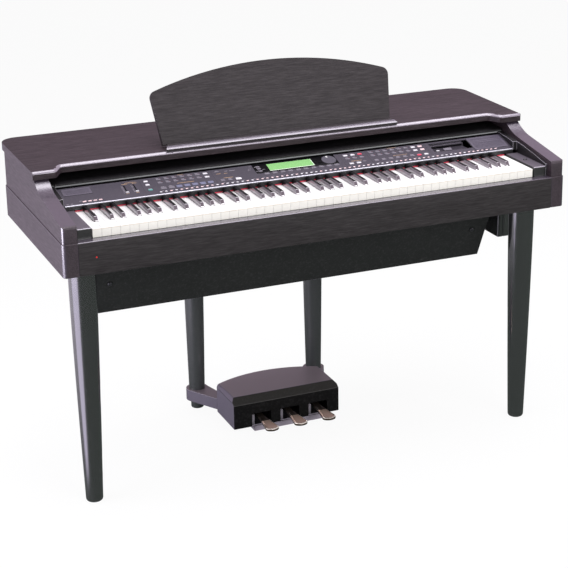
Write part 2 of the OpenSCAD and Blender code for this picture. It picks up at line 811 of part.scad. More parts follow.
module key_frame() {
    x = keys_half - 2;
    color("#8d8f92") union() {
        block([-x, key_y + 6, bed_z], [x, key_end + 2, bed_z + frame_t]);
        block([-x, key_y + 24, bed_z], [x, key_y + 27, seam_z - 12]);
        block([-x, key_pivot_y - 3, bed_z], [x, key_pivot_y + 3, fulcrum_z]);
        along_x(-x, x) translate([key_pivot_y, seam_z]) circle(key_rod_r);
        block([-x, key_pivot_y - 1, fulcrum_z - 1], [x, key_pivot_y + 1, seam_z - 1]);
        for (i = [-6:6]) block([i * (x - 2) / 6 - 1.5, key_y + 26, bed_z], [i * (x - 2) / 6 + 1.5, key_pivot_y - 3, bed_z + 30]);
    }
}

// ---- electronics, inlet and jacks ----
unit_w = 140;
unit_d = 100;
unit_y = back_y - unit_d - 22;
supply_x = 135 - arm_in;
amplifier_x = arm_in - 155 - unit_w;
fin_n = 10;
fin_t = 3;

module power_supply() {
    color(metal) union() {
        block([supply_x, unit_y, bed_z], [supply_x + unit_w, unit_y + unit_d, bed_z + 46]);
        block([supply_x - 10, unit_y + 15, bed_z], [supply_x + unit_w + 10, unit_y + unit_d - 15, bed_z + 2]);
    }
}

module amplifier() {
    step = (unit_w - fin_t - 4) / (fin_n - 1);
    color("#77797d") union() {
        block([amplifier_x, unit_y, bed_z], [amplifier_x + unit_w, unit_y + unit_d, bed_z + 12]);
        for (i = [0:fin_n - 1]) let (x = amplifier_x + 2 + i * step)
            block([x, unit_y + 2, bed_z + 11], [x + fin_t, unit_y + unit_d - 2, bed_z + 44]);
    }
}

module power_inlet() {
    y1 = back_y + back_t + 0.5;
    color(dark) difference() {
        block([inlet_x, y1 - inlet_d, inlet_z], [inlet_x + inlet_w, y1, inlet_z + inlet_h]);
        difference() {
            block([inlet_x + 12, y1 - 16, inlet_z + 6], [inlet_x + inlet_w - 12, y1 + 1, inlet_z + inlet_h - 6]);
            for (x = [-5, 5]) translate([inlet_x + inlet_w / 2 + x, yf(y1 - 17), inlet_z + inlet_h / 2]) rotate([-90, 0, 0])
                cylinder(r = 1.2, h = 13);
        }
    }
}

jack_x = [134.5 - half_w, 194.5 - half_w];
jack_y = [90, 150];
jack_h = 25;
jack_r = 3.25;
jack_l = 30;

module jack_box() {
    color(dark) difference() {
        block([jack_x[0], jack_y[0], case_z - jack_h], [jack_x[1], jack_y[1], case_z]);
        for (x = [-14, 14]) translate([(jack_x[0] + jack_x[1]) / 2 + x, yf(jack_y[0] - 1), case_z - jack_h / 2])
            rotate([-90, 0, 0]) cylinder(r = jack_r, h = jack_l + 1);
    }
}

// ---- speaker box ----
box_half = half_w - box_in;
box_back_y = case_d - box_back_in;
box_z = case_z - box_h;
box_low_y = box_y + box_h * tan(box_lean);
skin_y = box_t / cos(box_lean);
screw_x = box_half - 46;
screw_z = case_z - 103;

// a frame on the sloped front face: Z points out of it
module on_baffle(x, z, out = 0) {
    translate([x, yf(box_y + (case_z - z) * tan(box_lean)), z]) rotate([90 + box_lean, 0, 0]) translate([0, 0, out]) children();
}

module speaker_box() {
    color(dark) difference() {
        along_x(-box_half, box_half) polygon([[box_low_y + skin_y, box_z], [box_back_y, box_z],
            [box_back_y, case_z], [box_y + skin_y, case_z]]);
        along_x(-box_half + box_t, box_half - box_t) polygon([[box_low_y - 50, box_z + box_t], [box_back_y - box_t, box_z + box_t],
            [box_back_y - box_t, case_z + 1], [box_y - 50, case_z + 1]]);
    }
}

module speaker_grille() {
    color("#23272a") difference() {
        along_x(-box_half, box_half) polygon([[box_low_y, box_z], [box_low_y + skin_y, box_z],
            [box_y + skin_y, case_z], [box_y, case_z]]);
        both_sides() {
            on_baffle(woofer_x, case_z - box_h / 2, -box_t - 1) cylinder(r = woofer_r - 8, h = box_t - 1);
            on_baffle(screw_x, screw_z, -box_t - 1) cylinder(r = 3 + clear, h = box_t + 2);
        }
    }
}

module woofers() {
    color("#4a4c50") both_sides() on_baffle(woofer_x, case_z - box_h / 2, -box_t - 52) union() {
        translate([0, 0, 47]) cylinder(r = woofer_r, h = 5);
        translate([0, 0, 15]) cylinder(r1 = woofer_r * 0.5, r2 = woofer_r - 6, h = 33);
        cylinder(r = woofer_r * 0.5, h = 16);
    }
}

module thumb_screws() {
    color("#55555c") both_sides() on_baffle(screw_x, screw_z, 0) union() {
        cylinder(r = 6, h = 5);
        translate([0, 0, -box_t + 1]) cylinder(r = 3, h = box_t);
    }
}

module side_bracket() {
    x = box_half + bracket_gap;
    z0 = case_z - bracket_h;
    color(dark) difference() {
        upright(z0, case_z) union() {
            round_rect(x, bracket_y, x + bracket_t, box_back_y, 4);
            round_rect(x + bracket_t, bracket_y, x + bracket_w, box_back_y, 4);
        }
        along_x(x - 1, x + bracket_w + 1) polygon([[bracket_y + 100, z0 - 1], [box_back_y + 1, z0 - 1], [box_back_y + 1, z0 + 60]]);
    }
}

// ---- legs ----
ring_z = [27, 60];
spigot_z = ring_z[0] - 1;
leg_steps = 10;

function leg_r(z, r0, r1) = r0 + (r1 - r0) * (1 - pow(1 - z / case_z, leg_belly));

module leg(x, y, r0, r1, foot) {
    low = foot > 0 ? spigot_z : foot_r;
    base = foot > 0
        ? concat([[0, 0]], arc(foot - 4, 4, 4, -90, 0, 3), [[foot, spigot_z]])
        : concat([[0, 0]], arc(r0 - foot_r, foot_r, foot_r, -90, -8, 5));
    translate([x, yf(y), 0]) difference() {
        rotate_extrude() polygon(concat(base,
            [for (i = [0:leg_steps]) let (z = low + (case_z - low) * i / leg_steps) [leg_r(z, r0, r1), z]],
            [[0, case_z]]));
        translate([0, 0, case_z - stud_l - 1]) cylinder(r = stud_r + clear, h = stud_l + 2);
    }
}

module leg_plate(x, y, w) {
    union() {
        block([x - w / 2, y - w / 2, case_z], [x + w / 2, y + w / 2, case_z + plate_t]);
        translate([x, yf(y), case_z - stud_l]) cylinder(r = stud_r, h = stud_l + 1);
    }
}

module leg_plates() {
    color(metal) both_sides() {
        leg_plate(front_leg_x, front_leg_y, front_plate);
        leg_plate(rear_leg_x, rear_leg_y, rear_plate);
    }
}

module front_legs() {
    color("#37343a") both_sides() leg(front_leg_x, front_leg_y, front_leg_r0, front_leg_r1, 0);
}

module rear_legs() {
    color("#37343a") both_sides() leg(rear_leg_x, rear_leg_y, rear_leg_r0, rear_leg_r1, spigot_r);
}

// ---- pedal unit ----
bow_r = (pow(pedal_half, 2) + pow(pedal_bow, 2)) / (2 * pedal_bow);
bow_c = pedal_y + pedal_end_d + pedal_bow - bow_r;
pedal_reach = pedal_end_d + pedal_bow + 20;
ring_r = 31.5;
ring_bore = leg_r(ring_z[1], rear_leg_r0, rear_leg_r1) + clear;
slot_w = 57;
axle_y = pedal_y + axle_in;
axle_z = pedal_top_z - pedal_t / 2 - 2;
post_x = [-142, 142];
foot_x = [-96, 112];

module pedal_plan(inset) {
    intersection() {
        translate([0, bow_c]) circle(bow_r - inset, $fn = 180);
        translate([-pedal_half + inset, pedal_y + inset]) square([2 * (pedal_half - inset), pedal_reach]);
    }
}

module pedal_box() {
    bevel = 16;
    color(dark) difference() {
        intersection() {
            upright(pedal_z, pedal_top) pedal_plan(0);
            along_x(-pedal_half, pedal_half) polygon([[pedal_y, pedal_z], [pedal_y + 300, pedal_z],
                [pedal_y + 300, pedal_top - 9], [pedal_y + 60, pedal_top], [pedal_y + bevel + 8, pedal_top],
                [pedal_y, pedal_top - bevel]]);
            translate([0, yf(pedal_y + pedal_reach), 0]) rotate([90, 0, 0]) linear_extrude(pedal_reach + 1)
                polygon([[-pedal_half, pedal_z], [pedal_half, pedal_z], [pedal_half, pedal_top - 9],
                    [pedal_half - 8, pedal_top], [8 - pedal_half, pedal_top], [-pedal_half, pedal_top - 9]]);
        }
        upright(pedal_z - 1, pedal_top - 18) pedal_plan(pedal_wall);
        for (i = [-1:1]) block([pedal_shift + i * pedal_pitch - slot_w / 2, pedal_y - 1, pedal_z - 1],
            [pedal_shift + i * pedal_pitch + slot_w / 2, pedal_y + pedal_wall + 1, pedal_top_z + 12]);
    }
}

module pedal_base() {
    inset = pedal_wall + clear;
    color("#6e6a75") union() {
        upright(pedal_z, pedal_z + 4) pedal_plan(inset);
        block([foot_x[0], pedal_y + 8, 0], [foot_x[1], pedal_y + pedal_end_d, pedal_z + 1]);
        for (x = post_x) block([x - 3, axle_y - 8, pedal_z], [x + 3, axle_y + 8, axle_z + 8]);
        translate([post_x[0], yf(axle_y), axle_z]) rotate([0, 90, 0]) cylinder(r = axle_r, h = post_x[1] - post_x[0]);
    }
}

module pedal(i) {
    x = pedal_shift + i * pedal_pitch;
    z0 = pedal_top_z - pedal_t;
    tip_y = pedal_y - pedal_out;
    r = pedal_w / 2;
    neck = pedal_w * 0.34;
    difference() {
        union() {
            upright(z0, pedal_top_z) union() {
                translate([x, tip_y + r]) circle(r);
                polygon([[x - r, tip_y + r], [x + r, tip_y + r], [x + neck, pedal_y - 8], [x + neck, axle_y - 4],
                    [x - neck, axle_y - 4], [x - neck, pedal_y - 8]]);
            }
            translate([x - neck, yf(axle_y), axle_z]) rotate([0, 90, 0]) cylinder(r = axle_r + 4, h = 2 * neck);
        }
        translate([x - neck - 1, yf(axle_y), axle_z]) rotate([0, 90, 0]) cylinder(r = axle_r + pin_clear, h = 2 * neck + 2);
    }
}

module soft_pedal() {
    color("#c9b06a") pedal(-1);
}

module sostenuto_pedal() {
    color("#c9b06a") pedal(0);
}

module damper_pedal() {
    color("#c9b06a") pedal(1);
}

module pedal_arms() {
    color("#4f4b57") both_sides() upright(ring_z[0], ring_z[1]) difference() {
        union() {
            translate([rear_leg_x, rear_leg_y]) circle(ring_r);
            polygon([[rear_leg_x + 26, rear_leg_y - 17], [pedal_half + 0.5, pedal_y + pedal_end_d - 2],
                [pedal_half - 30, pedal_y + pedal_end_d + 10], [rear_leg_x - 28, rear_leg_y + 14]]);
        }
        translate([rear_leg_x, rear_leg_y]) circle(ring_bore);
        intersection() {
            translate([0, bow_c]) circle(bow_r + clear, $fn = 180);
            translate([-pedal_half, pedal_y]) square([2 * pedal_half, pedal_reach]);
        }
    }
}

key_bed();
side_boards();
front_board();
pilot_lamp();
side_arms();
back_panel();
top_board();
rest_ledge();
music_rest();
rest_stays();
key_cover();
cover_rails();
key_blocks();
power_button();
control_panel();
panel_trim();
panel_grilles();
display();
data_dial();
volume_slider();
balance_slider();
style_buttons();
display_buttons();
voice_buttons();
function_buttons();
disk_drive();
disk_eject();
main_board();
felt_strip();
key_frame();
white_keys(0);  // keys_a
black_keys(0);  // keys_a_sharp
white_keys(1);  // keys_b
white_keys(2);  // keys_c
black_keys(2);  // keys_c_sharp
white_keys(3);  // keys_d
black_keys(3);  // keys_d_sharp
white_keys(4);  // keys_e
white_keys(5);  // keys_f
black_keys(5);  // keys_f_sharp
white_keys(6);  // keys_g
black_keys(6);  // keys_g_sharp
power_supply();
amplifier();
power_inlet();
jack_box();
speaker_box();
speaker_grille();
woofers();
thumb_screws();
side_bracket();
leg_plates();
front_legs();
rear_legs();
pedal_box();
pedal_base();
pedal_arms();
soft_pedal();
sostenuto_pedal();
damper_pedal();
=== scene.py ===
import math
import bmesh
import bpy
from mathutils import Matrix, Vector


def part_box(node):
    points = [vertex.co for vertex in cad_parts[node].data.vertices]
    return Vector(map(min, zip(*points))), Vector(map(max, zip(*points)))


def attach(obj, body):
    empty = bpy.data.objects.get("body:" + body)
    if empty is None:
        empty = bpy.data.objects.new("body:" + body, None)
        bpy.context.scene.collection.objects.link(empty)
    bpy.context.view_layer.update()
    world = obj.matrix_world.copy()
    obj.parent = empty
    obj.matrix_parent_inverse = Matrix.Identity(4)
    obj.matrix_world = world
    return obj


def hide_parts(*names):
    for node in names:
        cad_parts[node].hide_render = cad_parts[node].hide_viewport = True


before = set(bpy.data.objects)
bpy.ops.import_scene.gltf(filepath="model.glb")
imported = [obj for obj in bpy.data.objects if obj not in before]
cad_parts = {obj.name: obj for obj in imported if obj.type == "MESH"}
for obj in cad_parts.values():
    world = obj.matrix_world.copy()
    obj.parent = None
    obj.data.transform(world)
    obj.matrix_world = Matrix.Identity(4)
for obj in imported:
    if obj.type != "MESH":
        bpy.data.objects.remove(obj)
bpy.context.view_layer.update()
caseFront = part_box("front_board")[0].y                  # the front face of the case
finish = {}                                             # filled once the materials are made
print("frame loaded:", len(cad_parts), "nodes")


# selecting, cutting, rounding and joining
def clearSelection():
    if bpy.context.object and bpy.context.object.mode != "OBJECT":
        bpy.ops.object.mode_set(mode="OBJECT")
    bpy.ops.object.select_all(action="DESELECT")


def pick(piece):
    clearSelection()
    piece.select_set(True)
    bpy.context.view_layer.objects.active = piece
    return piece


def startEdit(piece):
    pick(piece)
    bpy.ops.object.mode_set(mode="EDIT")
    bpy.ops.mesh.select_all(action="SELECT")


def endEdit(piece):
    bpy.ops.object.mode_set(mode="OBJECT")
    return piece


# puts the object at the origin, unturned and unscaled, with its place in its mesh
def settle():
    bpy.ops.object.transform_apply(location=True, rotation=True, scale=True)


def metres(*lengths):
    return [length / 1000 for length in lengths]        # from millimetres


def yf(depth):
    return caseFront + depth / 1000                     # millimetres behind the case's front face


# cuts an edge loop through the piece without removing anything
def cutAcross(piece, point, normal):
    startEdit(piece)
    bpy.ops.mesh.bisect(plane_co=point, plane_no=normal)
    return endEdit(piece)


# selects faces or edges in edit mode by their place or normal
def selectBy(piece, kind, test):
    bpy.ops.mesh.select_mode(type=kind)
    bpy.ops.mesh.select_all(action="DESELECT")
    mesh = bmesh.from_edit_mesh(piece.data)
    for part in (mesh.faces if kind == "FACE" else mesh.edges):
        part.select_set(bool(test(part)))
    bmesh.update_edit_mesh(piece.data)


def applyModifier(piece, kind, **values):
    pick(piece)
    modifier = piece.modifiers.new(kind.title(), kind)
    for name, value in values.items():
        setattr(modifier, name, value)
    bpy.ops.object.modifier_apply(modifier=modifier.name)
    return piece


def bevelEdges(piece, width, segments=2, limit=32, edgeSlot=-1):
    pick(piece)
    bpy.ops.object.shade_smooth()
    return applyModifier(piece, "BEVEL", width=width, segments=segments, limit_method="ANGLE",
                         material=edgeSlot, angle_limit=math.radians(limit), harden_normals=True,
                         use_clamp_overlap=True)


def bevelChosen(piece, width, segments, test):
    startEdit(piece)
    selectBy(piece, "EDGE", test)
    bpy.ops.mesh.bevel(offset=width, segments=segments, affect="EDGES", clamp_overlap=True)
    bpy.ops.mesh.select_all(action="SELECT")
    bpy.ops.mesh.normals_make_consistent(inside=False)
    return smoothSides(endEdit(piece))


def sharpEdge(edge, limit=30):
    return len(edge.link_faces) == 2 and edge.calc_face_angle(0) > math.radians(limit)


def least(edge, axis):
    return min(vertex.co["xyz".index(axis)] for vertex in edge.verts)


def most(edge, axis):
    return max(vertex.co["xyz".index(axis)] for vertex in edge.verts)


def cutAway(piece, cutter):
    applyModifier(piece, "BOOLEAN", operation="DIFFERENCE", solver="EXACT", object=cutter)
    bpy.data.objects.remove(cutter, do_unlink=True)
    return piece


# copies of a piece in a straight row, joined in one mesh
def rowOf(piece, count, step):
    if count < 2:
        return piece
    return applyModifier(piece, "ARRAY", count=count, use_relative_offset=False, use_constant_offset=True,
                         constant_offset_displace=step)


def smoothSides(piece, angle=32):
    pick(piece)
    bpy.ops.object.shade_smooth_by_angle(angle=math.radians(angle))
    return piece


def nameNew(name):
    piece = bpy.context.object
    piece.name = name
    settle()
    return piece


def addBlock(name, low, high):
    clearSelection()
    centre = [(a + b) / 2 for a, b in zip(low, high)]
    bpy.ops.mesh.primitive_cube_add(size=1, location=centre, scale=[b - a for a, b in zip(low, high)])
    return nameNew(name)


def addDrum(name, radius, low, high, at=(0, 0), vertices=32):
    clearSelection()
    bpy.ops.mesh.primitive_cylinder_add(vertices=vertices, radius=radius, depth=high - low,
                                        location=(*at, (low + high) / 2))
    return nameNew(name)


def placePiece(piece, matrix):
    pick(piece)
    piece.matrix_world = matrix
    settle()
    return piece


def copyPiece(piece, name, matrix):
    pick(piece)
    bpy.ops.object.duplicate(linked=False)
    twin = bpy.context.object
    twin.name = name
    return placePiece(twin, matrix)


def joinPieces(pieces, name):
    clearSelection()
    for piece in pieces:
        piece.select_set(True)
    bpy.context.view_layer.objects.active = pieces[0]
    if len(pieces) > 1:
        bpy.ops.object.join()
    pieces[0].name = name
    return pieces[0]


# a copy of a CAD node, merged and without the edges across its flat faces
def copyNode(node):
    piece = bpy.data.objects.new(node + "_skin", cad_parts[node].data.copy())
    bpy.context.scene.collection.objects.link(piece)
    setFinish(piece, "dark", "dark")
    for face in piece.data.polygons:
        face.material_index = 0
    startEdit(piece)
    bpy.ops.mesh.customdata_custom_splitnormals_clear()
    bpy.ops.mesh.remove_doubles(threshold=0.00001)
    bpy.ops.mesh.dissolve_limited(angle_limit=math.radians(0.4))
    return endEdit(piece)


def setFinish(piece, *names):
    places = [face.material_index for face in piece.data.polygons]
    piece.data.materials.clear()
    for name in names:
        piece.data.materials.append(finish[name])
    for face, place in zip(piece.data.polygons, places):
        face.material_index = min(place, len(names) - 1)


def finishPiece(piece, slotName, *names, body="case", replaces=None):
    setFinish(piece, *names)
    if replaces:
        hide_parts(replaces)
    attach(piece, body)
    return piece


# gives faces a finish by what they look like: the first test that holds decides
def paintFaces(piece, *tests):
    for face in piece.data.polygons:
        face.material_index = next((slot for slot, test in tests if test(face)), face.material_index)
    return piece


# a node's copy, shaped, with rounded edges (width and steps), its finishes and the faces painted with them
def dressNode(node, slotName, *names, shape=None, rounding=None, limit=32, edgeSlot=-1, body="case",
              paint=()):
    piece = copyNode(node)
    if shape:
        shape(piece)
    if rounding:
        bevelEdges(piece, *rounding, limit, edgeSlot)
    finishPiece(piece, slotName, *names, body=body, replaces=node)
    return paintFaces(piece, *paint)


def anyFace(face):
    return True


def frontEdge(face):
    turned = face.normal
    near = face.center.y < yf(caseSetup["dullFront"])
    return near and turned.y < -0.25 and abs(turned.x) < 0.2 and turned.z > 0.2


# the lower half of a rounding along a front edge stays as dull as the face below it
def lowFront(face):
    return face.normal.y < -0.2 and abs(face.normal.x) < 0.2 and face.normal.z < 0.62


def cornerFace(face):
    return abs(face.normal.x) > 0.2 and face.normal.y < -0.2 and abs(face.normal.z) < 0.4


# effects that several materials share
def startGroup(name, inputs):
    group = bpy.data.node_groups.new(name, "ShaderNodeTree")
    for label, kind, value in inputs:
        socket = group.interface.new_socket(label, in_out="INPUT", socket_type="NodeSocket" + kind)
        if value is not None:
            socket.default_value = value
    for label, kind in (("Color", "Color"), ("Height", "Float"), ("Roughness", "Float")):
        group.interface.new_socket(label, in_out="OUTPUT", socket_type="NodeSocket" + kind)
    return group, group.nodes.new("NodeGroupInput").outputs, group.nodes.new("NodeGroupOutput").inputs


def addNode(tree, kind, links=None, **values):
    node = tree.nodes.new("ShaderNode" + kind)
    for name, value in values.items():
        setattr(node, name, value)
    for key, source in (links or {}).items():
        feed(source, node.inputs[key])
    return node


def feed(source, socket):
    if isinstance(source, bpy.types.NodeSocket):
        socket.id_data.links.new(source, socket)        # id_data is the node tree
    else:
        socket.default_value = source


def noise(vector, scale, detail, roughness=0.5):
    links = {"Vector": vector, "Scale": scale, "Detail": detail, "Roughness": roughness}
    return addNode(vector.id_data, "TexNoise", links).outputs["Fac"]


def ramp(source, start, end):                           # black up to start, white from end on
    node = addNode(source.id_data, "ValToRGB", {"Fac": source})
    for element, position, value in zip(node.color_ramp.elements, (start, end), (0, 1)):
        element.position = position
        element.color = (value, value, value, 1)
    return node.outputs["Color"]


def maths(operation, a, b=0.0, clamp=False):
    tree = (a if isinstance(a, bpy.types.NodeSocket) else b).id_data
    return addNode(tree, "Math", {0: a, 1: b}, operation=operation, use_clamp=clamp).outputs[0]


def times(a, b, clamp=False):
    return maths("MULTIPLY", a, b, clamp)


def plus(a, b, clamp=False):
    return maths("ADD", a, b, clamp)


def minus(a, b):
    return maths("SUBTRACT", a, b)


def mixColour(amount, a, b):
    return addNode(amount.id_data, "Mix", {0: amount, 6: a, 7: b}, data_type="RGBA").outputs[2]


# each layer: its scale along and across, detail, roughness, and where its mask starts and ends
grainSetup = {
    "bands": ((3.0, 34, 34), 3.0, 0.5, 0.34, 0.68), "streaks": ((26, 330, 330), 5.0, 0.62, 0.38, 0.66),
    "pores": ((70, 1100, 1100), 2.0, 0.5, 0.44, 0.56), "bandShare": 0.22, "poreShare": 0.35,
    "poreHeight": 0.7, "roughness": 0.58, "polish": 0.08, "shift": (0.37, 0.11, 0.05), "relief": 0.0004}


# fine dark pores and slow bands that run along the group's X
def makeGrain():
    tree, source, result = startGroup("boardGrain", [
        ("Vector", "Vector", None), ("Dark", "Color", (0.02, 0.015, 0.017, 1)),
        ("Light", "Color", (0.06, 0.045, 0.05, 1)), ("Strength", "Float", 1.0)])
    masks = []
    for name in ("bands", "streaks", "pores"):
        scale, detail, roughness, start, end = grainSetup[name]
        place = addNode(tree, "Mapping", {"Vector": source["Vector"], "Scale": scale})
        masks.append(ramp(noise(place.outputs["Vector"], 1.0, detail, roughness), start, end))
    bands, streaks, pores = masks
    share = grainSetup["bandShare"]
    light = plus(times(bands, share), times(streaks, 1 - share))
    share = grainSetup["poreShare"]
    light = times(light, plus(times(pores, share), 1 - share))
    light = times(light, source["Strength"], clamp=True)
    feed(mixColour(light, source["Dark"], source["Light"]), result["Color"])
    share = grainSetup["poreHeight"]
    feed(plus(times(pores, share), times(streaks, 1 - share)), result["Height"])
    polished = times(streaks, grainSetup["polish"])
    feed(minus(grainSetup["roughness"], polished), result["Roughness"])
    return tree


surfaceSetup = {"gritDetail": 2.0, "smudges": (7.0, 4.0, 0.6), "dust": (160.0, 3.0, 0.7),
                "dustSpots": (0.5, 0.85), "dustColour": (0.3, 0.29, 0.3, 1), "tone": 2.0}


# moulded or lacquered surface: fine texture, slow smudges and a little dust
def makeSurface():
    tree, source, result = startGroup("surfaceFinish", [
        ("Vector", "Vector", None), ("Color", "Color", (0.05, 0.05, 0.05, 1)), ("Grit", "Float", 900.0),
        ("Roughness", "Float", 0.45), ("Vary", "Float", 0.1)])
    vector = source["Vector"]
    smudges = noise(vector, *surfaceSetup["smudges"])
    spots = ramp(noise(vector, *surfaceSetup["dust"]), *surfaceSetup["dustSpots"])
    change = times(minus(smudges, 0.5), source["Vary"])
    shade = addNode(tree, "VectorMath", {0: source["Color"]}, operation="SCALE")
    feed(plus(1.0, times(change, surfaceSetup["tone"])), shade.inputs["Scale"])
    dusty = times(spots, source["Vary"])
    feed(mixColour(dusty, shade.outputs["Vector"], surfaceSetup["dustColour"]), result["Color"])
    feed(noise(vector, source["Grit"], surfaceSetup["gritDetail"]), result["Height"])
    feed(plus(source["Roughness"], change, clamp=True), result["Roughness"])
    return tree


grainGroup = makeGrain()
surfaceGroup = makeSurface()


def startMaterial(name, **values):
    material = bpy.data.materials.new(name)
    material.use_nodes = True
    shader = material.node_tree.nodes["Principled BSDF"]
    for label, value in values.items():
        shader.inputs[label].default_value = value
    return material, shader, addNode(material.node_tree, "TexCoord").outputs["Object"]


# places a shared effect in a material and lets it feed the shader
def connectGroup(shader, effect, bump, distance, **values):
    group = addNode(shader.id_data, "Group", node_tree=effect)
    for label, value in values.items():
        feed(value, group.inputs[label])
    feed(group.outputs["Color"], shader.inputs["Base Color"])
    feed(group.outputs["Roughness"], shader.inputs["Roughness"])
    links = {"Height": group.outputs["Height"], "Strength": bump, "Distance": distance}
    relief = addNode(shader.id_data, "Bump", links)
    feed(relief.outputs["Normal"], shader.inputs["Normal"])


def woodMaterial(name, dark, light, along, bump=0.12, strength=1.0, values=()):
    material, shader, vector = startMaterial(name, **dict(values))
    turn = {"X": (0, 0, 0), "Y": (0, 0, math.pi / 2)}[along]
    links = {"Vector": vector, "Rotation": turn, "Location": grainSetup["shift"]}
    place = addNode(vector.id_data, "Mapping", links)
    connectGroup(shader, grainGroup, bump, grainSetup["relief"], Vector=place.outputs["Vector"],
                 Dark=(*dark, 1), Light=(*light, 1), Strength=strength)
    return material


def plainMaterial(name, colour, roughness, grit, vary=0.1, bump=0.08, values=(), distance=0.0003):
    material, shader, vector = startMaterial(name, **dict(values))
    connectGroup(shader, surfaceGroup, bump, distance, Vector=vector, Color=(*colour, 1), Grit=grit,
                 Roughness=roughness, Vary=vary)
    return material


# a lit surface, whose colour wanders a little between dim and bright
def glowMaterial(name, dim, bright, strength, cells=900.0, mask=(0.0, 1.0), roughness=0.2):
    material, shader, vector = startMaterial(name, Roughness=roughness)
    amount = ramp(noise(vector, cells, 1.0), *mask)
    glow = mixColour(amount, (*dim, 1), (*bright, 1))
    feed(glow, shader.inputs["Base Color"])
    feed(glow, shader.inputs["Emission Color"])
    shader.inputs["Emission Strength"].default_value = strength
    return material


dull = {"Specular IOR Level": 0.1}
satin = {"Specular IOR Level": 0.3}
clothSheen = {"Specular IOR Level": 0.35}
sheen = {"Specular IOR Level": 0.5, "Coat Weight": 0.28, "Coat Roughness": 0.4,
         "Coat Tint": (0.9, 0.8, 1, 1)}
gloss = {"Specular IOR Level": 0.5, "Coat Weight": 1.0, "Coat Roughness": 0.2, "Coat IOR": 2.0,
         "Coat Tint": (0.9, 0.86, 1, 1)}
noseCoat = {"Specular IOR Level": 0.5, "Coat Weight": 1.0, "Coat Roughness": 0.26, "Coat IOR": 1.8}
legCoat = {"Specular IOR Level": 0.5, "Coat Weight": 1.0, "Coat Roughness": 0.15, "Coat IOR": 3.0,
           "Coat Tint": (0.94, 0.91, 1, 1)}
rearLegCoat = {"Specular IOR Level": 0.7, "Coat Weight": 0.5, "Coat Roughness": 0.3}
keyCoat = {"Coat Weight": 1.0, "Coat Roughness": 0.06, "Coat IOR": 2.0}
keySideCoat = {"IOR": 2.2, "Coat Weight": 1.0, "Coat Roughness": 0.06, "Coat IOR": 2.4}
feltNap = {"Sheen Weight": 0.4, "Sheen Roughness": 0.4}
metal = {"Metallic": 1.0}
rosewood = ((0.014, 0.0088, 0.0105), (0.05, 0.035, 0.042))

# name, dark and light of the grain, its direction, relief, strength and coat
woodFinishes = {
    "caseX": ("rosewoodAlong", *rosewood, "X", 0.12, 1.0, satin),
    "caseY": ("rosewoodDeep", *rosewood, "Y", 0.12, 1.0, sheen),
    "rest": ("rosewoodRest", (0.012, 0.0095, 0.0105), (0.038, 0.032, 0.0345), "X", 0.12, 1.0, satin),
    "front": ("rosewoodFront", (0.0145, 0.0124, 0.013), (0.0455, 0.041, 0.042), "X", 0.08, 0.8, satin),
}
